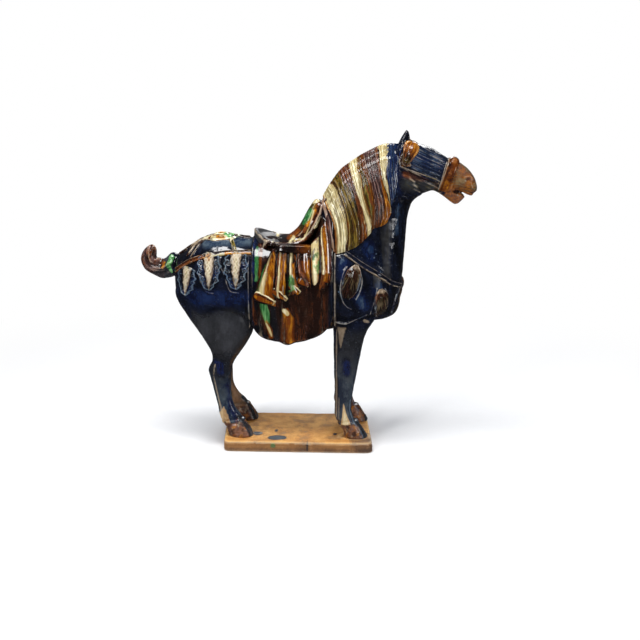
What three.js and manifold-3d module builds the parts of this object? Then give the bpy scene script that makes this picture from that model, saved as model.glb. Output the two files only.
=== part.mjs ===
// Glazed earthenware tomb horse on its slab, standing square, saddled and bridled, mouth open.
// Millimetres, +Z up, +X towards the head, origin in the middle of the slab's underside.
// The horse's own right side, with the combed mane, is the near side, -Y.
import * as THREE from 'three';
import { mergeVertices } from 'three/addons/utils/BufferGeometryUtils.js';
import Module from 'manifold-3d';

const wasm = await Module();
wasm.setup();

// Driving dimensions
const figureHeight = 589; // soles to ear tips
const slabThickness = 21;
const slabCorner = 14; // radius of the slab's upright corners
const slabEdge = 4; // rounding along the slab's top edge
const toeMargin = 9; // bare slab past the toes
const heelMargin = 8; // bare slab past the heels
const sideMargin = 17; // bare slab beside the hooves
const slabSkew = 12; // how much further back the hand-cut slab's far edge lies
const soleGap = 0.3; // between soles and slab
const clothThickness = 6; // how far the saddlecloth stands off the body
const strapWidth = 11;
const strapHeight = 4;
const spineStrap = { width: 20, height: 3 };
const cheekStrap = { width: 6, height: 3 };
const forelock = { width: 20, height: 6 };
const pendantHeight = 3;
const tasselHeight = 7;
const frontTasselHeight = 4;
const knotHeight = 6;
const ornamentHeight = 5; // the flower on the croup
const maneThickness = 5;
const strandHeight = 2.6; // from valley to ridge in the mane
const shortestEdge = 1.2; // shorter edges, left where forms meet, are closed up

// The tables below give the figure as it was measured. placed() turns a measured point into one of
// this model, so each proportion of the figure is a share of figureHeight.

// A form is a run of closed sections. Each row holds a section's top or front point (x, z), its
// other end (x, z), its half width, and the y of its middle.
const sampleCount = 120;
function makeForm(rows, { power = 2.2, egg = 0 } = {}) {
  const curve = (pick) => new THREE.CatmullRomCurve3(rows.map(pick), false, 'catmullrom', 0.5);
  const first = curve((r) => new THREE.Vector3(r[0], 0, r[1]));
  const second = curve((r) => new THREE.Vector3(r[2], 0, r[3]));
  const width = curve((r) => new THREE.Vector3(r[4], r[5] ?? 0, 0));
  const section = (s) => {
    const { x: halfWidth, y: middle } = width.getPoint(s);
    return { first: first.getPoint(s), second: second.getPoint(s), halfWidth, middle };
  };
  const samples = Array.from({ length: sampleCount + 1 }, (_, i) => section(i / sampleCount));
  return { rows, power, egg, section, samples };
}

const bulge = (value, power) => Math.sign(value) * Math.abs(value) ** (2 / power);

// The measured point at share s of the run and angle a round the section, 0 at its first point.
function sectionPoint(form, s, a) {
  const { first, second, halfWidth, middle } = form.section(s);
  const along = bulge(Math.cos(a), form.power);
  const across = bulge(Math.sin(a), form.power) * (1 - form.egg * along);
  const point = first.clone().add(second).multiplyScalar(0.5);
  point.addScaledVector(first.sub(second), along / 2);
  point.y = middle + halfWidth * across;
  return point;
}

// One closed solid from vertices and triangles, its faces turned outwards.
function solidOf(vertices, triangles) {
  let volume = 0;
  for (const [i, j, k] of triangles) {
    volume += vertices[i].dot(vertices[j].clone().cross(vertices[k]));
  }
  const faces = volume < 0 ? triangles.map(([i, j, k]) => [i, k, j]) : triangles;
  const geometry = new THREE.BufferGeometry().setFromPoints(vertices).setIndex(faces.flat());
  const merged = mergeVertices(geometry, 1e-3);
  return new wasm.Manifold(new wasm.Mesh({
    numProp: 3,
    vertProperties: merged.attributes.position.array,
    triVerts: new Uint32Array(merged.index.array),
  }));
}

// A closed skin over equal rings of points, with a fan over each end.
function skinOf(rings) {
  const count = rings[0].length;
  const vertices = rings.flat();
  const triangles = [];
  for (let r = 0; r + 1 < rings.length; r++) {
    for (let i = 0; i < count; i++) {
      const j = (i + 1) % count;
      const [a, b, c, d] = [r * count + i, r * count + j, (r + 1) * count + j, (r + 1) * count + i];
      triangles.push([a, b, c], [a, c, d]);
    }
  }
  for (const [start, turned] of [[0, true], [(rings.length - 1) * count, false]]) {
    const ring = vertices.slice(start, start + count);
    const middle = vertices.length;
    vertices.push(ring.reduce((sum, p) => sum.add(p), new THREE.Vector3()).divideScalar(count));
    for (let i = 0; i < count; i++) {
      const [a, b] = [start + i, start + ((i + 1) % count)];
      triangles.push(turned ? [middle, b, a] : [middle, a, b]);
    }
  }
  return solidOf(vertices, triangles);
}

const figureSkin = (rings) => skinOf(rings.map((ring) => ring.map(placed)));
const span = (count, make) => Array.from({ length: count }, (_, i) => make(i / (count - 1), i));

function loft(form, facets, ringsPerRow = 1) {
  const rings = (form.rows.length - 1) * ringsPerRow + 1;
  return figureSkin(span(rings, (s) =>
    Array.from({ length: facets }, (_, i) => sectionPoint(form, s, (i / facets) * 2 * Math.PI))));
}

const near = -1;
const far = 1;
const sides = [near, far];

// A paired form on one side. The legs weren't made quite alike, so back(z) and front(z) move its
// edges there.
const level = () => 0;
const onSide = (form, side, back = level, front = level) => makeForm(form.rows.map((r) =>
  [r[0] + back(r[1]), r[1], r[2] + front(r[3]), r[3], r[4], side * r[5]]), form);

// Body
const torso = makeForm([
  [-243, 350, -243, 312, 10],
  [-239, 364, -239, 290, 32],
  [-227, 375, -227, 268, 49],
  [-208, 388, -208, 246, 62],
  [-185, 401, -185, 234, 71],
  [-150, 407, -150, 228, 76],
  [-110, 405, -110, 227, 75],
  [-70, 401, -70, 222, 74],
  [-20, 398, -20, 217, 76],
  [40, 400, 40, 222, 74],
  [90, 408, 90, 236, 70],
  [130, 412, 130, 243, 64],
  [160, 400, 160, 246, 54],
  [179, 374, 179, 256, 40],
  [187, 345, 187, 270, 22],
  [190, 325, 190, 290, 6],
], { power: 2.25 });

const neck = makeForm([
  [-20, 390, 176, 258, 58],
  [12, 422, 193, 300, 57],
  [39, 465, 199, 350, 52],
  [59, 499, 202, 395, 46],
  [85, 528, 204, 432, 40],
  [118, 553, 208, 458, 37],
  [151, 570, 216, 477, 34],
  [180, 578, 232, 489, 31],
], { power: 2.15, egg: 0.24 });

const head = makeForm([
  [180, 574, 208, 480, 24],
  [200, 582, 223, 487, 31],
  [222, 584, 238, 493, 32],
  [246, 578, 251, 497, 29],
  [268, 565, 262, 493, 25],
  [285, 554, 274, 487, 22],
  [297, 549, 284, 480, 20],
], { power: 2.6, egg: -0.1 });

const upperMuzzle = makeForm([
  [284, 554, 280, 504, 20],
  [299, 552, 291, 501, 22],
  [314, 541, 301, 498, 23],
  [327, 527, 309, 494, 21],
  [335, 510, 316, 490, 18],
  [336, 498, 324, 487, 12],
], { power: 2.3 });

const lowerJaw = makeForm([
  [270, 506, 264, 492, 18],
  [284, 500, 276, 484, 19],
  [298, 496, 286, 476, 18],
  [309, 491, 294, 471, 15],
  [314, 485, 301, 472, 8],
], { power: 2.4 });

const ear = makeForm([
  [182, 566, 204, 568, 8, 15],
  [184, 577, 207, 578, 8, 15],
  [189, 590, 208, 588, 6.5, 14],
  [196, 603, 207, 600, 4, 12],
  [201, 610, 205, 608, 1.5, 11],
], { power: 2 });

const shoulder = makeForm([
  [84, 378, 146, 376, 18, 36],
  [70, 350, 164, 346, 28, 42],
  [64, 312, 170, 312, 32, 43],
  [66, 276, 162, 284, 30, 44],
  [76, 254, 148, 266, 22, 42],
  [92, 246, 134, 258, 10, 40],
], { power: 2.3 });

const frontLeg = makeForm([
  [58, 292, 152, 290, 20, 40],
  [63, 256, 147, 258, 24, 43],
  [66, 230, 131, 232, 23, 45],
  [67, 195, 121, 197, 20, 47],
  [68, 155, 113, 157, 17, 49],
  [69, 115, 106, 117, 15, 50],
  [70, 90, 103, 92, 14, 51],
  [70, 68, 102, 70, 14, 52],
  [73, 54, 108, 58, 16, 52],
  [83, 40, 119, 46, 18, 52],
  [88, 30, 122, 34, 16, 52],
], { power: 2.2 });

const frontHoof = makeForm([
  [82, 49, 113, 55, 14, 52],
  [84, 43, 118, 48, 19, 52],
  [87, 32, 127, 33, 22, 52],
  [88, 21, 135, 21, 24, 52],
], { power: 2.3 });

const hindLeg = makeForm([
  [-233, 330, -110, 326, 22, 34],
  [-238, 298, -93, 292, 33, 35],
  [-217, 259, -85, 252, 34, 39],
  [-193, 227, -91, 224, 29, 43],
  [-171, 190, -111, 191, 22, 47],
  [-167, 170, -126, 169, 17, 49],
  [-175, 152, -131, 151, 16, 50],
  [-170, 127, -132, 130, 14, 51],
  [-162, 96, -131, 99, 12.5, 51],
  [-156, 70, -124, 76, 13, 52],
  [-152, 52, -112, 60, 15, 52],
  [-141, 36, -100, 42, 17, 52],
  [-136, 28, -102, 32, 15, 52],
], { power: 2.2 });

const hindHoof = makeForm([
  [-142, 49, -106, 54, 14, 52],
  [-142, 42, -103, 47, 19, 52],
  [-140, 32, -94, 33, 22, 52],
  [-137, 21, -89, 21, 24, 52],
], { power: 2.3 });

const tail = makeForm([
  [-218, 362, -222, 324, 15],
  [-236, 369, -240, 328, 17],
  [-249, 374, -256, 324, 18],
  [-262, 364, -272, 322, 15],
  [-272, 361, -290, 330, 14],
  [-279, 365, -304, 341, 13],
  [-280, 373, -310, 360, 12],
  [-280, 381, -304, 378, 10],
  [-284, 387, -293, 387, 5],
], { power: 2 });

// From the tables to the model
const [frontSole, hindSole] = [frontHoof, hindHoof].map((form) => form.rows.at(-1));
const measuredSole = frontSole[1];
const share = figureHeight / (ear.rows.at(-1)[1] - measuredSole);
const toe = frontSole[2] * share;
const heel = hindSole[0] * share;
const hoofSide = (frontSole[4] + frontSole[5]) * share;
const slabLength = toe - heel + toeMargin + heelMargin;
const slabDepth = 2 * (hoofSide + sideMargin);
const middleX = (toe + toeMargin + heel - heelMargin) / 2;
const placed = ({ x, y, z }) => new THREE.Vector3(
  x * share - middleX,
  y * share,
  slabThickness + soleGap + (z - measuredSole) * share,
);
// A length of the model in the tables' measure
const inTable = (length) => length / share;

// The far fore fetlock is fuller behind, and the far hind cannon is slimmer in front.
const { smoothstep } = THREE.MathUtils;
const fetlockBack = (z) => -5 * smoothstep(z, 30, 60) * (1 - smoothstep(z, 75, 120));
const cannonFront = (z) => -9 * smoothstep(z, 55, 95) * (1 - smoothstep(z, 160, 240));

const carriers = [torso, neck, shoulder, hindLeg, frontLeg];

// How far a form's skin lies from the horse's middle plane at a measured x and z, 0 outside it.
function formReach(form, x, z) {
  const { samples } = form;
  const past = ({ first, second }) =>
    (second.x - first.x) * (z - first.z) - (second.z - first.z) * (x - first.x);
  let low = 0;
  let high = samples.length - 1;
  const start = past(samples[low]);
  const end = past(samples[high]);
  if (start * end > 0) return 0;
  while (high - low > 1) {
    const middle = (low + high) >> 1;
    if (past(samples[middle]) * start > 0) low = middle;
    else high = middle;
  }
  const before = past(samples[low]);
  const blend = before / (before - past(samples[high]) || 1);
  const between = (pick) => THREE.MathUtils.lerp(pick(samples[low]), pick(samples[high]), blend);
  const first = [between((q) => q.first.x), between((q) => q.first.z)];
  const second = [between((q) => q.second.x), between((q) => q.second.z)];
  const length = Math.hypot(second[0] - first[0], second[1] - first[1]);
  const towards = (x - first[0]) * (second[0] - first[0]) + (z - first[1]) * (second[1] - first[1]);
  const along = 1 - (2 * towards) / length ** 2;
  if (Math.abs(along) >= 1) return 0;
  const across = (1 - Math.abs(along) ** form.power) ** (1 / form.power);
  return between((q) => q.middle) + between((q) => q.halfWidth) * across * (1 - form.egg * along);
}

const bodyReach = (x, z) => Math.max(...carriers.map((form) => formReach(form, x, z)));
const vector = (x, y, z) => new THREE.Vector3(x, y, z);

// A spot on the body's flank, and the way out from the barrel's axis there.
const barrelAxis = 318;
const spineHeight = 400; // of the back under the saddle
function onFlank(x, z, side) {
  const point = vector(x, side * bodyReach(x, z), z);
  const out = vector(0, point.y, (z - barrelAxis) * 0.8).normalize();
  return { point, out };
}

// A spot found by going out from a centre until the skin is passed.
function cast(centre, out) {
  let low = 0;
  let high = 200;
  for (let i = 0; i < 18; i++) {
    const middle = (low + high) / 2;
    const p = centre.clone().addScaledVector(out, middle);
    if (Math.abs(p.y) < bodyReach(p.x, p.z)) low = middle;
    else high = middle;
  }
  return { point: centre.clone().addScaledVector(out, low), out };
}

const degrees = Math.PI / 180;
const chestAxis = 116;
// Round the chest: 0 straight ahead, 90 out to the side.
const onChest = (angle, z, side) => cast(
  vector(chestAxis, 0, z),
  vector(Math.cos(angle * degrees), side * Math.sin(angle * degrees), 0),
);
// Over the back: 0 at the spine, 90 out to the side.
const onBack = (x, angle, side) => cast(
  vector(x, 0, barrelAxis),
  vector(0, side * Math.sin(angle * degrees), Math.cos(angle * degrees)),
);
const lifted = ({ point, out }, height) => point.clone().addScaledVector(out, height);

// A rounded strap along spots of the skin.
const strapProfile = [
  [-1, -0.9], [-1, 0.35], [-0.62, 0.9], [0, 1.05], [0.62, 0.9], [1, 0.35], [1, -0.9],
];
function strap(spots, width, height, taper = 1) {
  return figureSkin(spots.map(({ point, out }, i) => {
    const before = spots[Math.max(0, i - 1)].point;
    const after = spots[Math.min(spots.length - 1, i + 1)].point;
    const across = after.clone().sub(before).cross(out).normalize();
    const half = (inTable(width) / 2) * THREE.MathUtils.lerp(1, taper, i / (spots.length - 1));
    return strapProfile.map(([w, h]) =>
      point.clone().addScaledVector(across, w * half).addScaledVector(out, h * inTable(height)));
  }));
}

// A raised plaque. rim(turn) gives its outline as an offset [x, z] from the middle, and seat(x, z)
// finds the spot on the skin.
const plaqueRings = [[0.6, 1], [0.95, 0.55], [1, -1]];
function plaque(seat, [x, z], rim, height, points = 12) {
  return figureSkin(plaqueRings.map(([reach, rise]) =>
    Array.from({ length: points }, (_, i) => {
      const [dx, dz] = rim(i / points);
      return lifted(seat(x + dx * reach, z + dz * reach), rise * inTable(height));
    })));
}

const turned = (x, z, tilt) => [
  x * Math.cos(tilt) + z * Math.sin(tilt),
  z * Math.cos(tilt) - x * Math.sin(tilt),
];
const oval = (width, height, tilt = 0) => (turn) => turned(
  (width / 2) * Math.sin(turn * 2 * Math.PI),
  (height / 2) * Math.cos(turn * 2 * Math.PI),
  tilt,
);
// A leaf: shoulders near its top, a point below.
const leaf = (width, height, tilt = 0) => (turn) => {
  const a = turn * 2 * Math.PI;
  const lobes = 1 + 0.14 * Math.cos(3 * a);
  return turned((width / 2) * Math.sin(a) * lobes, (height / 2) * Math.cos(a), tilt);
};

// Saddlecloth: hem rows of x and the hem's height
const clothHem = [
  [-89, 260], [-87, 246], [-80, 232], [-66, 221], [-50, 216], [-36, 214], [-20, 208],
  [-4, 213], [14, 217], [32, 223], [46, 231], [57, 242], [64, 255], [67, 272],
];
const clothTuck = 9; // how far the hem hangs inside the barrel's widest line
const hemPoints = clothHem.map(([x, z]) => vector(x, 0, z));
const hemLine = new THREE.CatmullRomCurve3(hemPoints, false, 'catmullrom', 0.5);
function hemHeight(x) {
  let [low, high] = [0, 1];
  for (let i = 0; i < 16; i++) {
    const middle = (low + high) / 2;
    if (hemLine.getPoint(middle).x < x) low = middle;
    else high = middle;
  }
  return hemLine.getPoint(low).z;
}
// How far the saddlecloth's face lies from the middle plane
function clothReach(x, z) {
  if (z >= barrelAxis) return bodyReach(x, z) + inTable(clothThickness);
  const down = (barrelAxis - z) / (barrelAxis - hemHeight(x));
  return bodyReach(x, barrelAxis) + inTable(clothThickness) - clothTuck * down ** 2;
}
function saddlecloth() {
  const rings = clothHem.map(([x, hem]) => {
    const outer = [hem, hem + 3, hem + 22, 280, barrelAxis].map((z) =>
      [clothReach(x, z) - (z === hem ? 2.5 : 0), z]);
    for (const angle of [70, 50, 30]) {
      const p = lifted(onBack(x, angle, far), inTable(clothThickness));
      outer.push([p.y, p.z]);
    }
    const half = [...outer, [0, spineHeight + inTable(clothThickness)]];
    const back = outer.slice().reverse().map(([y, z]) => [-y, z]);
    const under = [[-56, hem + 22], [-30, 262], [30, 262], [56, hem + 22]];
    return [...half, ...back, ...under].map(([y, z]) => vector(x, y, z));
  });
  return figureSkin(rings);
}

// Saddle: stations of the middle (x, z) and of the edge (x, z, y)
const saddleRows = [
  [-90, 396, -66, 386, 48],
  [-87, 418, -58, 400, 54],
  [-82, 421, -52, 404, 55],
  [-74, 412, -46, 402, 55],
  [-52, 405, -34, 401, 56],
  [-28, 409, -14, 401, 55],
  [-8, 424, 6, 403, 52],
  [4, 440, 22, 416, 46],
  [15, 458, 33, 434, 39],
  [24, 472, 41, 452, 30],
  [30, 478, 45, 468, 20],
  [38, 477, 50, 470, 14],
  [48, 462, 56, 458, 10],
];
const saddleEdge = 8; // depth of the saddle's edge
function saddle() {
  const across = [-1, -0.75, -0.4, 0, 0.4, 0.75, 1];
  return figureSkin(saddleRows.map(([x, z, edgeX, edgeZ, edgeY]) => {
    const top = across.map((share) => {
      const fall = share ** 2;
      return vector(x + (edgeX - x) * fall, edgeY * share, z + (edgeZ - z) * fall);
    });
    const low = edgeZ - saddleEdge;
    const under = [[edgeY - 1, low], [edgeY * 0.5, low - 20], [-edgeY * 0.5, low - 20], [1 - edgeY, low]];
    return [...top, ...under.map(([y, z2]) => vector(edgeX, y, z2))];
  }));
}

// A sheaf of ridges and hollows over the skin. Each line runs from (x, z) to (x, z) and stands up
// by its rise; bend above 1 lets it swing out early and then fall straight.
function sheaf(lines, side, reach, { bend = 1, steps = 6, startRise = 0.35, sink = 26 } = {}) {
  return figureSkin(lines.map(([x0, z0, x1, z1, rise]) => {
    const outer = span(steps, (t) => {
      const x = x0 + (x1 - x0) * (1 - (1 - t) ** bend);
      const z = z0 + (z1 - z0) * t;
      return vector(x, side * (reach(x, z) + rise * (startRise + (1 - startRise) * t ** 0.7)), z);
    });
    const inner = [outer[steps - 1], outer[steps >> 1], outer[0]].map((p) =>
      vector(p.x, p.y - side * (rise + sink), p.z + (p === outer[steps - 1] ? 3 : 0)));
    return [...outer, ...inner];
  }));
}

// Gathered drape under the saddle's edge: four folds whose hems end in a turned toe
const drapeTop = 394;
const drapeLines = [
  [-50, -82, 306, 1], [-47, -74, 297, 8], [-43, -61, 291, 9], [-40, -46, 288, 5],
  [-38, -44, 314, 1], [-36, -42, 311, 8], [-31, -33, 304, 8], [-26, -20, 297, 4],
  [-24, -19, 323, 1], [-21, -14, 320, 8], [-16, -6, 314, 7], [-10, 4, 309, 4],
  [-8, 0, 334, 1], [-5, 3, 332, 7], [1, 10, 326, 7], [7, 17, 321, 4],
  [10, 14, 338, 1], [13, 18, 334, 6], [20, 25, 326, 6], [24, 29, 327, 1],
].map(([top, bottom, hem, rise]) => [top, drapeTop, bottom, hem, rise]);
// Drape that falls from the pommel in a long loop
const pommelDrapeLines = [
  [23, 398, 28, 326, 1], [27, 402, 33, 319, 6], [32, 408, 38, 314, 8], [36, 416, 42, 313, 3],
  [40, 426, 49, 314, 8], [44, 438, 57, 320, 7], [48, 450, 63, 335, 4], [50, 458, 66, 352, 1],
];
const drapeReach = (x, z) => Math.max(clothReach(x, z), Math.min(57 + (drapeTop - z) * 0.43, 76));

// Mane: where each strand line leaves the crest and where it ends, ridge and hollow in turn
const maneLines = [
  [43, 484, 58, 412], [49, 495, 64, 400], [56, 507, 71, 388], [63, 517, 80, 383],
  [69, 526, 88, 385], [76, 534, 97, 389], [86, 543, 107, 393], [97, 551, 118, 398],
  [108, 559, 129, 404], [119, 565, 139, 414], [130, 572, 149, 426], [141, 577, 160, 436],
  [151, 580, 168, 446], [160, 583, 173, 462], [168, 584, 177, 478], [176, 585, 184, 488],
  [184, 585, 190, 496],
].map((line, i) => [...line, i % 2 ? inTable(strandHeight) : 0]);
function mane() {
  const steps = 8;
  return figureSkin(maneLines.map(([x0, z0, x1, z1, ridge]) => {
    const outer = span(steps, (t) => {
      const x = x0 + (x1 - x0) * (1 - (1 - t) ** 1.7);
      const z = z0 + (z1 - z0) * t;
      const rise = (inTable(maneThickness) + ridge) * (t === 1 ? 0.6 : 1);
      const y = t === 0 ? 0 : formReach(neck, x, z) * Math.min(1, t * 5) + rise * Math.min(1, t * 4);
      return vector(x, near * y, z + (t === 0 ? ridge * 0.4 : 0));
    });
    const end = outer[steps - 1];
    return [
      vector(x0, 10, z0 - 8),
      ...outer,
      vector(end.x, end.y + 14, end.z + 4),
      vector((x0 + x1) / 2, -12, (z0 + z1) / 2),
    ];
  }));
}

// Harness
const crupperPath = [
  [-80, 383], [-106, 383], [-132, 383], [-152, 381], [-172, 377], [-192, 371], [-210, 363],
  [-226, 352], [-236, 344],
];
// Angle round the chest and height
const breastPath = [
  [118, 384], [104, 376], [88, 365], [72, 354], [56, 341], [42, 330], [28, 322], [14, 317], [0, 315],
];
// Middle, width, height and tilt of each leaf pendant
const pendantSpots = [
  [-213, 327, 38, 54, 0.12],
  [-168, 347, 45, 64, 0],
  [-117, 349, 45, 64, 0],
];

function harness(side) {
  const crupper = crupperPath.map(([x, z]) => onFlank(x, z, side));
  const crossStrap = span(6, (t) => onBack(-131 + 12 * t, 8 + 40 * t, side));
  const seat = (x, z) => onFlank(x, z, side);
  return [
    strap(crupper, strapWidth, strapHeight),
    strap(crossStrap, strapWidth * 0.8, strapHeight),
    ...pendantSpots.map(([x, z, width, height, tilt]) =>
      plaque(seat, [x, z], leaf(width, height, tilt), pendantHeight)),
    plaque(seat, [101, 332], oval(36, 62, 0.35), tasselHeight),
    plaque((x, z) => onChest(x, z, side), [54, 288], oval(32, 56, 0.2), tasselHeight),
  ];
}

const breastStrap = [
  ...breastPath.map(([angle, z]) => onChest(angle, z, near)),
  ...breastPath.slice(0, -1).reverse().map(([angle, z]) => onChest(angle, z, far)),
];
const onFront = (angle, z) => onChest(Math.abs(angle), z, angle < 0 ? near : far);
const onCroup = (x, angle) => onBack(x, Math.abs(angle), angle < 0 ? near : far);

const spinePath = span(14, (t) => onBack(-84 - 150 * t, 0, near));

// Head harness
const noseband = makeForm([
  [279, 554, 261, 498, 22],
  [283, 558, 264, 494, 26],
  [296, 558, 271, 489, 26],
  [301, 552, 275, 488, 22],
], { power: 2.6 });
const headSide = (x, z, side) => {
  const point = vector(x, side * formReach(head, x, z), z);
  return { point, out: vector(0, side, 0) };
};
const cheekPath = [[188, 544], [205, 540], [220, 536], [236, 531], [252, 526], [268, 519]];
const forelockPath = [[212, 586], [209, 578], [204, 567], [199, 556], [195, 546]];

const solids = [
  loft(torso, 22),
  loft(neck, 18, 2),
  loft(head, 16),
  loft(upperMuzzle, 14),
  loft(lowerJaw, 12),
  loft(tail, 10, 2),
  loft(onSide(frontLeg, near), 12),
  loft(onSide(frontLeg, far, fetlockBack), 12),
  loft(onSide(hindLeg, near), 12),
  loft(onSide(hindLeg, far, level, cannonFront), 12),
  loft(noseband, 16),
  mane(),
  saddlecloth(),
  saddle(),
  ...sides.flatMap((side) => [
    loft(onSide(shoulder, side), 14),
    loft(onSide(frontHoof, side), 12),
    loft(onSide(hindHoof, side), 12),
    loft(onSide(ear, side), 10),
    sheaf(drapeLines, side, drapeReach),
    sheaf(pommelDrapeLines, side, drapeReach, { bend: 1.5 }),
    ...harness(side),
    strap(cheekPath.map(([x, z]) => headSide(x, z, side)), cheekStrap.width, cheekStrap.height),
    strap(forelockPath.map(([x, z]) => headSide(x, z, side)), forelock.width, forelock.height, 0.6),
  ]),
  strap(breastStrap, strapWidth, strapHeight),
  strap(spinePath, spineStrap.width, spineStrap.height),
  plaque(onCroup, [-154, 0], oval(70, 52), ornamentHeight),
  plaque(onFront, [0, 282], oval(60, 62), frontTasselHeight),
  plaque(onFront, [0, 317], oval(30, 26), knotHeight),
];

// Joined into one body. Pockets shut in where forms meet are filled; nothing may stand free.
const [horse, ...pockets] = solids.reduce((whole, piece) => whole.add(piece)).decompose()
  .sort((a, b) => b.volume() - a.volume());
if (pockets.some((pocket) => pocket.volume() > 0)) {
  throw new Error('a piece stands free of the horse');
}

// Slab
function slab() {
  const rings = [
    [0, 0],
    [0, slabThickness - slabEdge],
    [slabEdge * 0.3, slabThickness - slabEdge * 0.3],
    [slabEdge, slabThickness],
  ];
  const arc = 5; // points on each corner
  return skinOf(rings.map(([inset, z]) => {
    const ring = [];
    for (let corner = 0; corner < 4; corner++) {
      for (let i = 0; i < arc; i++) {
        const angle = (corner + i / (arc - 1)) * 90 * degrees;
        const farSide = corner < 2;
        const ahead = corner === 0 || corner === 3;
        const cx = (slabLength / 2 - slabCorner) * (ahead ? 1 : -1) - (farSide ? slabSkew : 0);
        const cy = (slabDepth / 2 - slabCorner) * (farSide ? 1 : -1);
        const radius = slabCorner - inset;
        ring.push(vector(cx + radius * Math.cos(angle), cy + radius * Math.sin(angle), z));
      }
    }
    return ring;
  }));
}

// The mesh of a solid with its shortest edges closed up, wherever the skin stays whole: the two
// ends share just two neighbours, and no face turns over.
function withoutSlivers(solid) {
  const { vertProperties, triVerts } = solid.getMesh();
  const points = Array.from({ length: vertProperties.length / 3 }, (_, i) =>
    new THREE.Vector3().fromArray(vertProperties, i * 3));
  const faces = Array.from({ length: triVerts.length / 3 }, (_, i) =>
    [...triVerts.slice(i * 3, i * 3 + 3)]);
  const facesAt = points.map(() => new Set());
  faces.forEach((face, f) => face.forEach((v) => facesAt[v].add(f)));
  const around = (v) => new Set([...facesAt[v]].flatMap((f) => faces[f]));
  const normal = (face) => {
    const [a, b, c] = face.map((v) => points[v]);
    return b.clone().sub(a).cross(c.clone().sub(a));
  };
  const close = (kept, dropped) => {
    const shared = [...around(kept)]
      .filter((v) => v !== kept && v !== dropped && around(dropped).has(v));
    if (shared.length !== 2) return false;
    const moved = [...facesAt[dropped]].filter((f) => !faces[f].includes(kept));
    const swap = (face) => face.map((v) => (v === dropped ? kept : v));
    const flips = moved.some((f) => {
      const before = normal(faces[f]);
      const after = normal(swap(faces[f]));
      return before.length() > 1e-3 && before.dot(after) < 0.2 * before.length() * after.length();
    });
    if (flips) return false;
    for (const f of facesAt[dropped]) {
      if (moved.includes(f)) {
        faces[f] = swap(faces[f]);
        facesAt[kept].add(f);
      } else {
        faces[f].forEach((v) => v !== dropped && facesAt[v].delete(f));
        faces[f] = null;
      }
    }
    facesAt[dropped] = new Set();
    return true;
  };
  for (let pass = 0; pass < 4; pass++) {
    for (const face of faces.map((_, f) => f)) {
      for (let i = 0; faces[face] && i < 3; i++) {
        const [a, b] = [faces[face][i], faces[face][(i + 1) % 3]];
        if (points[a].distanceTo(points[b]) < shortestEdge && !close(a, b)) close(b, a);
      }
    }
  }
  const kept = new Map();
  const index = faces.filter(Boolean).flat().map((v) => {
    if (!kept.has(v)) kept.set(v, kept.size);
    return kept.get(v);
  });
  const left = [...kept.keys()].map((v) => points[v]);
  return new THREE.BufferGeometry().setFromPoints(left).setIndex(index);
}

function meshOf(name, solid, material) {
  const geometry = withoutSlivers(solid);
  geometry.computeVertexNormals();
  const mesh = new THREE.Mesh(geometry, material);
  mesh.name = name;
  return mesh;
}

const glaze = new THREE.MeshStandardMaterial({ color: 0x1c2444, roughness: 0.12, metalness: 0 });
const clay = new THREE.MeshStandardMaterial({ color: 0xc29a63, roughness: 0.85, metalness: 0 });
const group = new THREE.Group();
group.add(meshOf('horse', horse, glaze), meshOf('base_slab', slab(), clay));
export default group;
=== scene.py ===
import math
import bpy
import numpy as np
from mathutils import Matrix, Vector
from mathutils.bvhtree import BVHTree


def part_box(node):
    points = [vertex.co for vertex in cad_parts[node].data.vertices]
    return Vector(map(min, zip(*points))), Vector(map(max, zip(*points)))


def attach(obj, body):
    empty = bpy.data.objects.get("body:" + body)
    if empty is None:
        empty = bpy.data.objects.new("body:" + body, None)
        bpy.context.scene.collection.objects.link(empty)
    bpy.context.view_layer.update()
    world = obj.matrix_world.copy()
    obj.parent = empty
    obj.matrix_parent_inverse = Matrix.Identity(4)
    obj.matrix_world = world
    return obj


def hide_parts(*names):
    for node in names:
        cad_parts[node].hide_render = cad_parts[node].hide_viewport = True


# Glazed earthenware tomb horse. Tables are in millimetres as measured on the figure: soles at z 21,
# x towards the head, and the side with the combed mane, the near side, at -y.

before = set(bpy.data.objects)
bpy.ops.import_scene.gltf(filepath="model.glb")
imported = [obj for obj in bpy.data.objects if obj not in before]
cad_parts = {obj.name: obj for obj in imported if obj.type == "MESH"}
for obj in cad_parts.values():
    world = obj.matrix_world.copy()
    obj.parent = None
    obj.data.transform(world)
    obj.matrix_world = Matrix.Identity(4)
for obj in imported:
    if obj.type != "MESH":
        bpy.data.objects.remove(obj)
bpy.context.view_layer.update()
horseHigh = np.array(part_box("horse")[1]) * 1000
horseLow = np.array(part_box("horse")[0]) * 1000
slabLow, slabHigh = (np.array(corner) * 1000 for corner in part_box("base_slab"))
measuredNose, measuredSole = 336, 21
shift = np.array([horseHigh[0] - measuredNose, 0, horseLow[2] - measuredSole])  # tables to frame
near, far = -1, 1


# Small tools

def lerp(a, b, t):
    return a + (b - a) * t


def ramp(low, high, value):
    t = np.clip((value - low) / (high - low), 0, 1)
    return t * t * (3 - 2 * t)


def bell(value, width):
    return np.exp(-(value / width) ** 2)


def through(rows, t):
    # a smooth run through the rows, t from 0 to 1
    rows = np.asarray(rows, float)
    t = np.asarray(t, float)
    ends = np.concatenate([[2 * rows[0] - rows[1]], rows, [2 * rows[-1] - rows[-2]]])
    place = np.clip(t, 0, 1) * (len(rows) - 1)
    i = np.minimum(place.astype(int), len(rows) - 2)
    f = (place - i).reshape(t.shape + (1,) * (rows.ndim - 1))
    a, b, c, d = ends[i], ends[i + 1], ends[i + 2], ends[i + 3]
    return 0.5 * (2 * b + (c - a) * f + (2 * a - 5 * b + 4 * c - d) * f**2 + (3 * b - a - 3 * c + d) * f**3)


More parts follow.
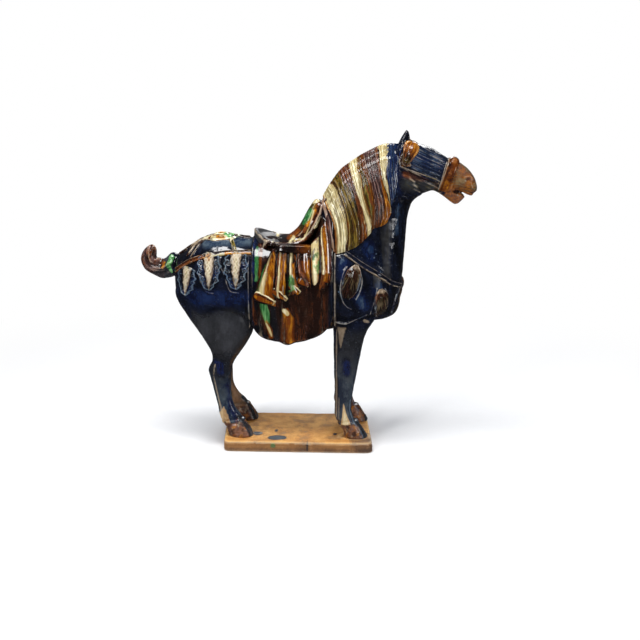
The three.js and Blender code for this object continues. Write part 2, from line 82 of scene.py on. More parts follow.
def evened(points, count):
    # the same path in equal steps
    points = np.asarray(points, float)
    gaps = np.linalg.norm(np.diff(points, axis=0), axis=1)
    total = np.concatenate([[0], np.cumsum(gaps)])
    at = np.linspace(0, total[-1], count)
    return np.stack([np.interp(at, total, points[:, k]) for k in range(points.shape[1])], -1)


def pathThrough(rows, fine, count):
    return evened(through(rows, np.linspace(0, 1, fine)), count)


def ripple(points, size, seed):
    # smooth unevenness from waves of mixed lengths, about -1 to 1
    rng = np.random.default_rng(seed)
    total = np.zeros(points.shape[:-1])
    for _ in range(14):
        way, finer = rng.normal(size=points.shape[-1]), math.exp(rng.uniform(-0.8, 0.8))
        way *= finer * 2 * math.pi / size / np.linalg.norm(way)
        total += np.sin(points @ way + rng.uniform(0, 6.28)) / finer
    return total / 6


def averaged(rows, width):
    # a running mean down the first axis
    padded = np.pad(rows, ((width // 2, width // 2), (0, 0)), "edge")
    total = np.cumsum(np.vstack([np.zeros(rows.shape[1]), padded]), 0)
    return (total[width:] - total[:-width]) / width


def runField(x, z, run):
    # millimetres inside a run of glaze; its rows are x, z and half width
    best = np.full(np.shape(x), -60.0)
    if len(run) == 1:
        run = [run[0], run[0]]
    for (x0, z0, w0), (x1, z1, w1) in zip(run, run[1:]):
        dx, dz = x1 - x0, z1 - z0
        t = np.clip(((x - x0) * dx + (z - z0) * dz) / (dx * dx + dz * dz + 1e-9), 0, 1)
        best = np.maximum(best, lerp(w0, w1, t) - np.hypot(x - x0 - t * dx, z - z0 - t * dz))
    return best


def painted(points, nearRuns, seed=1, farRuns=None):
    # the field of some runs on the near side, and of their like on the far one
    x, y, z = points.T
    if farRuns is None:
        rng = np.random.default_rng(seed)
        farRuns = []
        for run in nearRuns:
            dx, dz, grow = rng.uniform(-5, 5), rng.uniform(-8, 8), rng.uniform(0.7, 1.1)
            farRuns.append([(a + dx, c + dz, w * grow) for a, c, w in run])
    both = [np.full(len(points), -60.0)] * 2
    for side, runs in enumerate((nearRuns, farRuns)):
        for run in runs:
            both[side] = np.maximum(both[side], runField(x, z, run))
    return lerp(both[0], both[1], ramp(-6, 6, y))


def addMesh(name, points, faces):
    # points in the tables' millimetres
    mesh = bpy.data.meshes.new(name)
    points, faces = np.asarray(points, float), np.asarray(faces, np.int32)
    mesh.vertices.add(len(points))
    mesh.vertices.foreach_set("co", ((points + shift) / 1000).ravel())
    mesh.loops.add(faces.size)
    mesh.loops.foreach_set("vertex_index", faces.ravel())
    mesh.polygons.add(len(faces))
    mesh.polygons.foreach_set("loop_start", np.arange(0, faces.size, faces.shape[1], dtype=np.int32))
    mesh.update(calc_edges=True)
    piece = bpy.data.objects.new(name, mesh)
    bpy.context.scene.collection.objects.link(piece)
    return piece


def pointsOf(piece):
    data = np.empty(len(piece.data.vertices) * 3)
    piece.data.vertices.foreach_get("co", data)
    return data.reshape(-1, 3) * 1000 - shift


def setPoints(piece, points):
    piece.data.vertices.foreach_set("co", ((points + shift) / 1000).ravel())
    piece.data.update()


def normalsOf(piece):
    data = np.empty(len(piece.data.vertices) * 3)
    piece.data.vertices.foreach_get("normal", data)
    return data.reshape(-1, 3)


def edgesOf(piece):
    data = np.empty(len(piece.data.edges) * 2, np.int32)
    piece.data.edges.foreach_get("vertices", data)
    return data.reshape(-1, 2)


def relaxed(points, edges, steps, amount=0.5):
    a, b = edges.T
    count = len(points)
    degree = np.maximum(np.bincount(a, minlength=count) + np.bincount(b, minlength=count), 1)
    points = points.copy()
    for _ in range(steps):
        for axis in range(points.shape[1]):
            c = points[:, axis]
            total = np.bincount(a, c[b], count) + np.bincount(b, c[a], count)
            points[:, axis] = c + amount * (total / degree - c)
    return points


def setField(piece, name, values):
    layer = piece.data.attributes.get(name) or piece.data.attributes.new(name, "FLOAT", "POINT")
    layer.data.foreach_set("value", np.asarray(values, np.float32).ravel())


def getField(piece, name):
    data = np.empty(len(piece.data.vertices), np.float32)
    piece.data.attributes[name].data.foreach_get("value", data)
    return data


def markRidges(piece, steps=24):
    # how far each point stands out of its smoothed surroundings, in millimetres
    points, edges = pointsOf(piece), edgesOf(piece)
    soft = relaxed(points, edges, steps)
    ridge = np.einsum("ij,ij->i", points - soft, normalsOf(piece))[:, None]
    setField(piece, "ridge", ridge - relaxed(ridge, edges, steps * 3))


def applyModifier(piece, kind, **settings):
    modifier = piece.modifiers.new(kind.lower(), kind)
    for key, value in settings.items():
        setattr(modifier, key, value)
    bpy.context.view_layer.update()
    evaluated = piece.evaluated_get(bpy.context.evaluated_depsgraph_get())
    old, piece.data = piece.data, bpy.data.meshes.new_from_object(evaluated)
    piece.modifiers.clear()
    bpy.data.meshes.remove(old)


def remesh(piece, voxel):
    # voxel in millimetres
    applyModifier(piece, "REMESH", mode="VOXEL", voxel_size=voxel * 1 / 1000)


def faceCount(piece):
    return sum(len(p.vertices) - 2 for p in piece.data.polygons)


def gridFaces(rows, columns, wrap=False):
    r, c = np.meshgrid(np.arange(rows - 1), np.arange(columns if wrap else columns - 1), indexing="ij")
    a, b = r * columns + c, r * columns + (c + 1) % columns
    return np.stack([a, b, b + columns, a + columns], -1).reshape(-1, 4)


def outwards(points, faces):
    p = points[faces[:, :3]]
    volume = np.einsum("ij,ij->", p[:, 0], np.cross(p[:, 1], p[:, 2]))
    return faces if volume > 0 else faces[:, ::-1]


def skinOver(grid):
    # a closed skin over rings of points, with a fan over each end
    rings, around = grid.shape[:2]
    points = np.vstack([grid.reshape(-1, 3), grid[0].mean(0), grid[-1].mean(0)])
    ring = np.arange(around)
    after, last = (ring + 1) % around, (rings - 1) * around
    fans = [np.stack([after, ring, np.full(around, rings * around)], -1),
            np.stack([ring + last, after + last, np.full(around, rings * around + 1)], -1)]
    quads = gridFaces(rings, around, wrap=True)
    return points, outwards(points, np.vstack([quads[:, [0, 1, 2]], quads[:, [0, 2, 3]], *fans]))


def shell(outer, inner):
    # a closed body between two grids of the same shape
    rows, columns = outer.shape[:2]
    top, count = gridFaces(rows, columns), rows * columns
    rim = np.concatenate([
        np.arange(columns), np.arange(2 * columns - 1, count, columns),
        np.arange(count - 2, count - columns - 1, -1), np.arange(count - 2 * columns, 0, -columns)])
    after = np.roll(rim, -1)
    side = np.stack([after, rim, rim + count, after + count], -1)
    points = np.vstack([outer.reshape(-1, 3), inner.reshape(-1, 3)])
    faces = np.vstack([top, top[:, ::-1] + count, side])
    return points, outwards(points, faces)


def softened(grid, steps):
    # each inner point goes to the mean of its four neighbours
    for _ in range(steps):
        grid[1:-1, 1:-1] = (grid[:-2, 1:-1] + grid[2:, 1:-1] + grid[1:-1, :-2] + grid[1:-1, 2:]) / 4
    return grid


def twice(*grids):
    # values for both sides of a shell
    return [np.tile(grid.ravel(), 2) for grid in grids]


def joined(name, parts):
    # one piece from several bodies, each with its fields
    start, points, faces, fields = 0, [], [], {}
    for p, f, marks in parts:
        points.append(p)
        faces.append(f + start)
        start += len(p)
        for key, values in marks.items():
            fields.setdefault(key, []).append(values)
    piece = addMesh(name, np.vstack(points), np.vstack(faces))
    for key, values in fields.items():
        setField(piece, key, np.concatenate(values))
    return piece


# Materials

def linear(code):
    # sRGB hex to linear
    channels = [int(code[i:i + 2], 16) / 255 for i in (1, 3, 5)]
    return [c / 12.92 if c <= 0.04045 else ((c + 0.055) / 1.055) ** 2.4 for c in channels] + [1]


def addNode(tree, kind, settings=(), links=()):
    # a setting is a property or a socket's value, and a link joins a socket of another node
    made = tree.nodes.new("ShaderNode" + kind)
    for key, value in dict(settings).items():
        if isinstance(key, str) and hasattr(made, key):
            setattr(made, key, value)
        else:
            made.inputs[key].default_value = value
    for key, socket in dict(links).items():
        tree.links.new(socket, made.inputs[key])
    return made


# Lead glazes over buff clay, by their thin and their pooled colour; buff, clay, hoof and ochre are the bare body,
# and stain and spill are glaze that dripped on it. In places some stand in for light and shade instead: slate,
# charcoal and mist for painted reflections, haze and spill for painted glints and highlights, hoof and stain for
# painted shade.
glazes = {
    "cobalt": ("#182a52", "#080d26"),
    "midnight": ("#141a2c", "#05060b"),
    "sapphire": ("#152658", "#080d2c"),
    "mist": ("#8398a3", "#233c60"),
    "haze": ("#94a2a8", "#566a80"),
    "russet": ("#9c6030", "#482311"),
    "slate": ("#3a3b40", "#212226"),
    "charcoal": ("#25272d", "#121318"),
    "amber": ("#c27f1b", "#6a3206"),
    "brown": ("#743e19", "#281109"),
    "bistre": ("#341b12", "#0f0807"),
    "mauve": ("#7f625c", "#382422"),
    "cream": ("#e9e1bb", "#bfab76"),
    "green": ("#7cb873", "#22602f"),
    "olive": ("#7a6a28", "#2e2809"),
    "buff": ("#bba98f", "#806d58"),
    "clay": ("#cdae80", "#9c7648"),
    "hoof": ("#8a5f48", "#43271c"),
    "stain": ("#4a4f55", "#1e2126"),
    "spill": ("#4d565e", "#363e46"),
    "ochre": ("#f0bb6c", "#cb8b42"),
}


# noise scales a metre: mottle 2.5 mm, pinholes 2.4 mm apart, orange peel 4 mm, hand-smoothed clay 14 mm
grain = {"mottle": 400, "fleck": 420, "peel": 250, "swell": 70}
glazeIor = 1.55  # lead glaze


def glazeMaterial(name, base, layers, look):
    # Glazed earthenware, poured and brushed over slip and fired: wet gloss, and runs that pool dark and tear to
    # pale clay. base and layers name glazes; a layer lies where its field, with an edge that rag tears, is above 0.
    look = {"gloss": 0.08, "breakTo": "buff", "breakAt": (0.12, 0.42), "breakMost": 0.6, "thickAt": (0.50, 0.86),
            "ridgeShare": 0.8, "stretch": 0.3, "pool": 9, "bump": 0.12, "tear": 0.8, "mottle": 0.4,
            "lines": 0.35, "linePitch": 3, "lineBump": 0.5, "speck": 0.2, "swell": 0, **look}
    material = bpy.data.materials.new(name)
    material.use_nodes = True
    tree = material.node_tree
    tree.nodes.clear()
    place = addNode(tree, "TexCoord").outputs["Object"]
    drawn = addNode(tree, "Mapping", {"Scale": (1, 1, look["stretch"])}, {"Vector": place}).outputs[0]
    # pools, their size in mm, drawn out downwards, with a finer mottle
    pool = addNode(tree, "TexNoise", {"Scale": 1000 / look["pool"], "Detail": 3},
                   {"Vector": drawn}).outputs["Fac"]
    mottle = addNode(tree, "TexNoise", {"Scale": grain["mottle"], "Detail": 2}, {"Vector": drawn}).outputs["Fac"]
    both = addNode(tree, "Math", {"operation": "MULTIPLY_ADD", 1: look["mottle"]},
                   {0: mottle, 2: pool}).outputs[0]
    if look["lines"]:
        # combed hairs and fine runs; the field line holds millimetres across them
        line = addNode(tree, "Attribute", {"attribute_name": "line"}).outputs["Fac"]
        across = addNode(tree, "Math", {"operation": "MULTIPLY", 1: 1 / look["linePitch"]}, {0: line}).outputs[0]
        slow = addNode(tree, "VectorMath", {"operation": "SCALE", "Scale": 20}, {0: place}).outputs[0]
        axes = addNode(tree, "SeparateXYZ", links={0: slow}).outputs
        drawnOut = addNode(tree, "CombineXYZ", links={0: across, 1: axes[0], 2: axes[2]}).outputs[0]
        hair = addNode(tree, "TexNoise", {"Scale": 1, "Detail": 3}, {"Vector": drawnOut}).outputs["Fac"]
        hair = addNode(tree, "Math", {"operation": "SUBTRACT", 1: 0.5}, {0: hair}).outputs[0]
        lined = addNode(tree, "Attribute", {"attribute_name": "lined"}).outputs["Fac"]
        hair = addNode(tree, "Math", {"operation": "MULTIPLY"}, {0: hair, 1: lined}).outputs[0]
        both = addNode(tree, "Math", {"operation": "MULTIPLY_ADD", 1: look["lines"]},
                       {0: hair, 2: both}).outputs[0]
    ridge = addNode(tree, "Attribute", {"attribute_name": "ridge"}).outputs["Fac"]
    # glaze pools in hollows and runs thin on ridges
    thick = addNode(tree, "Math", {"operation": "MULTIPLY_ADD", 1: -look["ridgeShare"]},
                    {0: ridge, 2: both}).outputs[0]
    thick = addNode(tree, "MapRange", {"interpolation_type": "SMOOTHSTEP",
                    1: look["thickAt"][0], 2: look["thickAt"][1]}, {"Value": thick}).outputs[0]
    rag = addNode(tree, "Math", {"operation": "SUBTRACT", 1: 0.5 + look["mottle"] / 2},
                  {0: both}).outputs[0]

    def tint(kind):
        thin, deep = glazes[kind]
        return addNode(tree, "Mix", {"data_type": "RGBA", 6: linear(thin), 7: linear(deep)},
                       {0: thick}).outputs[2]

    colour, rough = tint(base), None
    for glaze, fieldName, ragged, most, soft, coarse in layers:
        field = addNode(tree, "Attribute", {"attribute_name": fieldName}).outputs["Fac"]
        edge = addNode(tree, "Math", {"operation": "MULTIPLY_ADD", 1: ragged}, {0: rag, 2: field}).outputs[0]
        cover = addNode(tree, "MapRange", {"interpolation_type": "SMOOTHSTEP", 1: -soft, 2: soft, 4: most},
                        {"Value": edge}).outputs[0]
        colour = addNode(tree, "Mix", {"data_type": "RGBA"}, {0: cover, 6: colour, 7: tint(glaze)}).outputs[2]
        if coarse:
            rough = addNode(tree, "Mix", {2: look["gloss"], 3: coarse},
                            {0: cover, **({2: rough} if rough else {})}).outputs[0]
    if look["breakMost"]:
        torn = addNode(tree, "Math", {"operation": "MULTIPLY_ADD", 1: look["tear"]},
                       {0: rag, 2: ridge}).outputs[0]
        worn = addNode(tree, "MapRange", {"interpolation_type": "SMOOTHSTEP", 1: look["breakAt"][0],
                       2: look["breakAt"][1], 4: look["breakMost"]}, {"Value": torn}).outputs[0]
        colour = addNode(tree, "Mix", {"data_type": "RGBA", 7: linear(glazes[look["breakTo"]][0])},
                         {0: worn, 6: colour}).outputs[2]
    if look["speck"]:
        # pale pinholes and specks
        fleck = addNode(tree, "TexNoise", {"Scale": grain["fleck"], "Detail": 1}, {"Vector": place}).outputs["Fac"]
        fleck = addNode(tree, "MapRange", {"interpolation_type": "SMOOTHSTEP", 1: 0.71, 2: 0.8,
                        4: look["speck"]}, {"Value": fleck}).outputs[0]
        colour = addNode(tree, "Mix", {"data_type": "RGBA", 7: linear(glazes["haze"][0])},
                         {0: fleck, 6: colour}).outputs[2]
    # orange peel of the fired glaze
    peel = addNode(tree, "TexNoise", {"Scale": grain["peel"], "Detail": 2}, {"Vector": place}).outputs["Fac"]
    if look["lines"]:
        peel = addNode(tree, "Math", {"operation": "MULTIPLY_ADD", 1: look["lineBump"] * 4},
                       {0: hair, 2: peel}).outputs[0]
    if look["swell"]:
        # the hand-smoothed clay under the glaze
        wave = addNode(tree, "TexNoise", {"Scale": grain["swell"], "Detail": 1}, {"Vector": place}).outputs["Fac"]
        peel = addNode(tree, "Math", {"operation": "MULTIPLY_ADD", 1: look["swell"]},
                       {0: wave, 2: peel}).outputs[0]
    bumped = addNode(tree, "Bump", {"Strength": look["bump"], "Distance": 0.001},
                     {"Height": peel}).outputs[0]
    shader = addNode(tree, "BsdfPrincipled", {"Roughness": look["gloss"], "IOR": glazeIor},
                     {"Base Color": colour, "Normal": bumped, **({"Roughness": rough} if rough else {})})
    addNode(tree, "OutputMaterial", links={"Surface": shader.outputs[0]})
    return material


# a coat's rag, cover, softness of edge, roughness and far runs where a paint gives none
coat = (5, 1, 1.2, None, None)
# most triangles a piece keeps once its fields are set
budget = {"horse_body": 190000, "combed_mane": 120000, "saddlecloth": 90000, "gathered_drapes": 80000,
          "drape_toes": 25000, "seat_band": 25000, "pommel_drapes": 35000, "saddle": 50000,
          "harness_straps": 45000, "leaf_pendants": 90000, "chest_tassels": 70000, "croup_flower": 26000,
          "noseband": 26000, "bridle_cords": 18000, "mane_ribbon": 8000, "forelock": 24000, "clay_slab": 70000}


def finish(piece, finishName, base, paints, look=(), node="horse"):
    # Each paint, from the first coat to the last, is a glaze, where it lies, and how, as in coat. It lies where a
    # field in millimetres is above 0, or along runs by x, z and half width, with their like on the far side.
    points, layers = pointsOf(piece), []
    for i, (glaze, paint, *given) in enumerate(paints):
        rag, most, soft, rough, farRuns = (*given, *coat[len(given):])
        if isinstance(paint, list):
            paint = painted(points, paint, i + 3, farRuns)
        setField(piece, f"{glaze}{i}", paint)
        layers.append((glaze, f"{glaze}{i}", rag, most, soft, rough))
    for name, values in (("line", points[:, 0]), ("lined", np.ones(len(points)))):
        if name not in piece.data.attributes:
            setField(piece, name, values)
    if faceCount(piece) > budget[piece.name]:
        applyModifier(piece, "DECIMATE", ratio=budget[piece.name] / faceCount(piece))
    piece.data.materials.clear()
    piece.data.materials.append(glazeMaterial(finishName, base, layers, dict(look)))
    piece.data.polygons.foreach_set("use_smooth", np.ones(len(piece.data.polygons), bool))
    piece.data.update()
    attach(piece, "root")
    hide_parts(node)
    print(piece.name, faceCount(piece), "triangles")


# Camera, lights and floor

view = {"azimuth": 2.73, "elevation": 13.55, "distance": 2.25, "target": (0.039, 0, 0.2414), "lens": 64.63}
lamps = {  # place, aim, size and power
    "overhead": ((-0.15, -0.35, 1.8), (0, 0, 0.35), (0.9, 0.5), 22),
    "leftKey": ((-1.0, -1.7, 1.5), (0, 0, 0.35), (0.4, 0.7), 14),
    "rightStrip": ((1.8, -1.2, 0.8), (0.1, 0, 0.35), (0.15, 1.0), 8),
    "back": ((0.4, 1.9, 1.4), (0, 0, 0.35), (0.9, 0.6), 14),
}
studio = {"low": (0.07, 0.07, 0.075, 1), "high": (0.5, 0.52, 0.56, 1), "mirrored": (0.05, 0.05, 0.055, 1)}
ground = {"reach": 7, "fade": (0.35, 1.3), "pale": ("#f6f6f6", "#fafafa"), "mirrored": "#3a3836"}  # in metres


def setCamera():
    a, e = math.radians(view["azimuth"]), math.radians(view["elevation"])
    back = Vector((math.sin(a) * math.cos(e), -math.cos(a) * math.cos(e), math.sin(e)))
    data = bpy.data.cameras.new("camera")
    data.lens, data.sensor_width = view["lens"], 36
    camera = bpy.data.objects.new("camera", data)
    camera.location = Vector(view["target"]) + back * view["distance"]
    camera.rotation_euler = back.to_track_quat("Z", "Y").to_euler()
    bpy.context.scene.collection.objects.link(camera)
    bpy.context.scene.camera = camera


def setLight():
    for name, (place, aim, size, power) in lamps.items():
        data = bpy.data.lights.new(name, "AREA")
        data.shape, data.size, data.size_y, data.energy = "RECTANGLE", size[0], size[1], power
        lamp = bpy.data.objects.new(name, data)
        lamp.location = place
        lamp.rotation_euler = (Vector(place) - Vector(aim)).to_track_quat("Z", "Y").to_euler()
        bpy.context.scene.collection.objects.link(lamp)
    world = bpy.data.worlds.new("studio")
    world.use_nodes = True
    tree = world.node_tree
    tree.nodes.clear()
    path = addNode(tree, "LightPath")
    up = addNode(tree, "TexCoord").outputs["Generated"]
    height = addNode(tree, "SeparateXYZ", links={0: up}).outputs[2]
    sky = addNode(tree, "ValToRGB", links={0: height})
    lowest, highest = sky.color_ramp.elements
    lowest.position, lowest.color = 0.0, studio["low"]
    highest.position, highest.color = 0.9, studio["high"]
    dim = addNode(tree, "Mix", {"data_type": "RGBA", 7: studio["mirrored"]},
                  {0: path.outputs["Is Glossy Ray"], 6: sky.outputs[0]}).outputs[2]
    shown = addNode(tree, "Mix", {"data_type": "RGBA", 7: (1, 1, 1, 1)},
                    {0: path.outputs["Is Camera Ray"], 6: dim}).outputs[2]
    light = addNode(tree, "Background", {"Strength": 1.0}, {"Color": shown})
    addNode(tree, "OutputWorld", links={"Surface": light.outputs[0]})
    bpy.context.scene.world = world
    bpy.context.scene.view_settings.view_transform = "Standard"  # keeps the glazes' depth and a white ground


def setFloor():
    reach = ground["reach"]
    mesh = bpy.data.meshes.new("floor")
    corners = [(-reach, -reach, 0), (reach, -reach, 0), (reach, reach, 0), (-reach, reach, 0)]
    mesh.from_pydata(corners, [], [(0, 1, 2, 3)])
    floor = bpy.data.objects.new("floor", mesh)
    bpy.context.scene.collection.objects.link(floor)
    material = bpy.data.materials.new("paperFloor")
    material.use_nodes = True
    tree = material.node_tree
    shader = tree.nodes["Principled BSDF"]
    fibres = addNode(tree, "TexNoise", {"Scale": 900}).outputs["Fac"]  # about 1 mm
    white = addNode(tree, "Mix", {"data_type": "RGBA", **{i: linear(ground["pale"][i - 6]) for i in (6, 7)}},
                    {0: fibres})
    shader.inputs["Roughness"].default_value = 0.95
    shader.inputs["Specular IOR Level"].default_value = 0.1
    # in the glaze it mirrors as a dark studio floor would
    path = addNode(tree, "LightPath")
    tone = addNode(tree, "Mix", {"data_type": "RGBA", 7: linear(ground["mirrored"])},
                   {0: path.outputs["Is Glossy Ray"], 6: white.outputs[2]}).outputs[2]
    tree.links.new(tone, shader.inputs["Base Color"])
    # away from the horse it fades to plain white
    away = addNode(tree, "VectorMath", {"operation": "LENGTH"},
                   {0: addNode(tree, "TexCoord").outputs["Object"]}).outputs["Value"]
    start, end = ground["fade"]
    fade = addNode(tree, "MapRange", {"interpolation_type": "SMOOTHSTEP", 1: start, 2: end},
                   {"Value": away}).outputs[0]
    share = addNode(tree, "Math", {"operation": "MULTIPLY"},
                    {0: fade, 1: path.outputs["Is Camera Ray"]}).outputs[0]
    plain = addNode(tree, "Emission").outputs[0]
    surface = addNode(tree, "MixShader", links={0: share, 1: shader.outputs[0], 2: plain}).outputs[0]
    tree.links.new(surface, tree.nodes["Material Output"].inputs["Surface"])
    mesh.materials.append(material)


setCamera()
setLight()
setFloor()
print("stage set")


# Forms
# Each row holds a section's top or front point (x, z), its other end (x, z), its half width and
# the y of its middle; paired forms are given for the far side.

forms = {
    "torso": {"power": 2.25, "rows": [
        (-243, 350, -243, 312, 10, 0), (-239, 364, -239, 290, 32, 0), (-227, 375, -227, 268, 49, 0),
        (-208, 388, -208, 246, 62, 0), (-185, 401, -185, 234, 71, 0), (-150, 407, -150, 228, 76, 0),
        (-110, 405, -110, 227, 75, 0), (-70, 401, -70, 222, 74, 0), (-20, 398, -20, 217, 76, 0),
        (40, 400, 40, 222, 74, 0), (90, 408, 90, 236, 70, 0), (130, 412, 130, 243, 64, 0),
        (160, 400, 160, 246, 54, 0), (179, 374, 179, 256, 40, 0), (187, 345, 187, 270, 22, 0),
        (190, 325, 190, 290, 6, 0)]},
    "neck": {"power": 2.15, "egg": 0.24, "rows": [
        (-20, 390, 176, 258, 58, 0), (12, 422, 193, 300, 57, 0), (39, 465, 199, 350, 52, 0),
        (59, 499, 202, 395, 46, 0), (85, 528, 204, 432, 40, 0), (118, 553, 208, 458, 37, 0),
        (151, 570, 216, 477, 34, 0), (180, 578, 232, 489, 31, 0)]},
    "head": {"power": 2.6, "egg": -0.1, "rows": [
        (180, 574, 208, 480, 24, 0), (200, 582, 223, 487, 31, 0), (222, 584, 238, 493, 32, 0),
        (246, 578, 251, 497, 29, 0), (268, 565, 262, 493, 25, 0), (285, 554, 274, 487, 22, 0),
        (297, 549, 284, 480, 20, 0)]},
    "upperMuzzle": {"power": 2.3, "rows": [
        (284, 554, 280, 504, 20, 0), (299, 552, 291, 501, 22, 0), (314, 541, 301, 498, 23, 0),
        (327, 527, 309, 494, 21, 0), (335, 510, 316, 490, 18, 0), (336, 498, 324, 487, 12, 0)]},
    "lowerJaw": {"power": 2.4, "rows": [
        (270, 506, 264, 492, 18, 0), (284, 500, 276, 484, 19, 0), (298, 496, 286, 476, 18, 0),
        (309, 491, 294, 471, 15, 0), (314, 485, 301, 472, 8, 0)]},
    "mouth": {"power": 2, "rows": [
        (276, 504, 274, 488, 14, 0), (292, 505, 288, 483, 14, 0), (306, 501, 302, 480, 12, 0)]},
    "ear": {"power": 2, "pair": True, "rows": [
        (182, 566, 204, 568, 8, 15), (184, 577, 207, 578, 8, 15), (189, 590, 208, 588, 6.5, 14),
        (196, 603, 207, 600, 4, 12), (201, 610, 205, 608, 1.5, 11)]},
    "shoulder": {"power": 2.3, "pair": True, "rows": [
        (84, 378, 146, 376, 18, 36), (70, 350, 164, 346, 28, 42), (64, 312, 170, 312, 32, 43),
        (66, 276, 162, 284, 30, 44), (76, 254, 148, 266, 22, 42), (92, 246, 134, 258, 10, 40)]},
    "frontLeg": {"power": 2.2, "pair": True, "rows": [
        (58, 292, 152, 290, 20, 40), (63, 256, 147, 258, 24, 43), (66, 230, 131, 232, 23, 45),
        (67, 195, 121, 197, 20, 47), (68, 155, 113, 157, 17, 49), (69, 115, 106, 117, 15, 50),
        (70, 90, 103, 92, 14, 51), (70, 68, 102, 70, 14, 52), (73, 54, 108, 58, 16, 52),
        (83, 40, 119, 46, 18, 52), (88, 30, 122, 34, 16, 52)]},
    "frontHoof": {"power": 2.3, "pair": True, "rows": [
        (82, 49, 113, 55, 14, 52), (84, 43, 118, 48, 19, 52), (87, 32, 127, 33, 22, 52),
        (88, 21, 135, 21, 24, 52)]},
    "hindLeg": {"power": 2.2, "pair": True, "rows": [
        (-233, 330, -110, 326, 22, 34), (-238, 298, -93, 292, 33, 35), (-217, 259, -85, 252, 34, 39),
        (-193, 227, -91, 224, 29, 43), (-171, 190, -111, 191, 22, 47), (-167, 170, -126, 169, 17, 49),
        (-175, 152, -131, 151, 16, 50), (-170, 127, -132, 130, 14, 51), (-162, 96, -131, 99, 12.5, 51),
        (-156, 70, -124, 76, 13, 52), (-152, 52, -112, 60, 15, 52), (-141, 36, -100, 42, 17, 52),
        (-136, 28, -102, 32, 15, 52)]},
    "hindHoof": {"power": 2.3, "pair": True, "rows": [
        (-142, 49, -106, 54, 14, 52), (-142, 42, -103, 47, 19, 52), (-140, 32, -94, 33, 22, 52),
        (-137, 21, -89, 21, 24, 52)]},
    "tail": {"power": 2, "rows": [
        (-218, 362, -222, 324, 15, 0), (-236, 369, -240, 328, 17, 0), (-249, 374, -256, 324, 18, 0),
        (-262, 364, -272, 322, 15, 0), (-272, 361, -290, 330, 14, 0), (-279, 365, -304, 341, 13, 0),
        (-280, 373, -310, 360, 12, 0), (-280, 381, -304, 378, 10, 0), (-284, 387, -293, 387, 5, 0)]},
}
barrelAxis, chestAxis = 318, 116  # height of the barrel's middle, and x of the chest's
outside = 150  # from either axis, clear of the body


def sideRows(name, side):
    # the far fore fetlock is fuller behind, and the far hind cannon is slimmer in front
    rows = [list(row) for row in forms[name]["rows"]]
    for row in rows:
        if side == far and name == "frontLeg":
            row[0] -= 5 * ramp(30, 60, row[1]) * (1 - ramp(75, 120, row[1]))
        if side == far and name == "hindLeg":
            row[2] -= 9 * ramp(55, 95, row[3]) * (1 - ramp(160, 240, row[3]))
        row[5] *= side
    return rows


def bulge(value, power):
    return np.sign(value) * np.abs(value) ** (2 / power)


def acrossFace(x, z):
    # down from the face's front line, square to it
    return (x - 190) * 0.43 + (z - 560) * 0.90


def pastBand(x, z):
    # along the head from the noseband's middle
    return (x - 287) * 0.93 - (z - 522) * 0.377


def loft(name, side=far, rings=70, around=72):
    form = forms[name]
    x0, z0, x1, z1, width, middle = through(sideRows(name, side), np.linspace(0, 1, rings)).T[:, :, None]
    a = np.linspace(0, 2 * math.pi, around, endpoint=False)
    along, across = bulge(np.cos(a), form["power"]), bulge(np.sin(a), form["power"])
    x = (x0 + x1) / 2 + (x0 - x1) / 2 * along
    z = (z0 + z1) / 2 + (z0 - z1) / 2 * along
    return skinOver(np.stack([x, middle + width * across * (1 - form.get("egg", 0) * along), z], -1))


def reachOf(name, x, z):
    # how far a form's skin lies from the middle plane at x and z, 0 outside it
    form = forms[name]
    rows = through(form["rows"], np.linspace(0, 1, 140))
    shape = np.shape(x)
    x, z = np.ravel(x), np.ravel(z)
    x0, z0, x1, z1 = rows.T[:4]
    past = (x1 - x0)[None] * (z[:, None] - z0[None]) - (z1 - z0)[None] * (x[:, None] - x0[None])
    change = np.sign(past[:, 1:]) != np.sign(past[:, :-1])
    row, i = np.arange(len(x)), np.argmax(change, 1)
    f = past[row, i] / (past[row, i] - past[row, i + 1] + 1e-9)
    a0, c0, a1, c1, w, m = (lerp(column[i], column[i + 1], f) for column in rows.T)
    towards = (x - a0) * (a1 - a0) + (z - c0) * (c1 - c0)
    along = 1 - 2 * towards / ((a1 - a0) ** 2 + (c1 - c0) ** 2 + 1e-9)
    across = (1 - np.minimum(np.abs(along), 1) ** form["power"]) ** (1 / form["power"])
    reach = m + w * across * (1 - form.get("egg", 0) * along)
    return np.where(change.any(1) & (np.abs(along) < 1), reach, 0).reshape(shape)


def bodyReach(x, z):
    return np.max([reachOf(name, x, z) for name in ("torso", "neck", "shoulder", "hindLeg", "frontLeg")], axis=0)


# Body

# places by x and z, and the cheek edge's height at x 190
body = {"voxel": 1.3, "soften": 12, "cheek": 543, "nostril": (317, 520), "eye": (201, 550), "earHollow": (201, 588),
        "hock": (-168, 163), "knee": (93, 166), "flank": (-100, 268), "hooves": ((118, 84), (-103, -142))}


def awayFrom(name, x, z):
    return x - body[name][0], z - body[name][1]


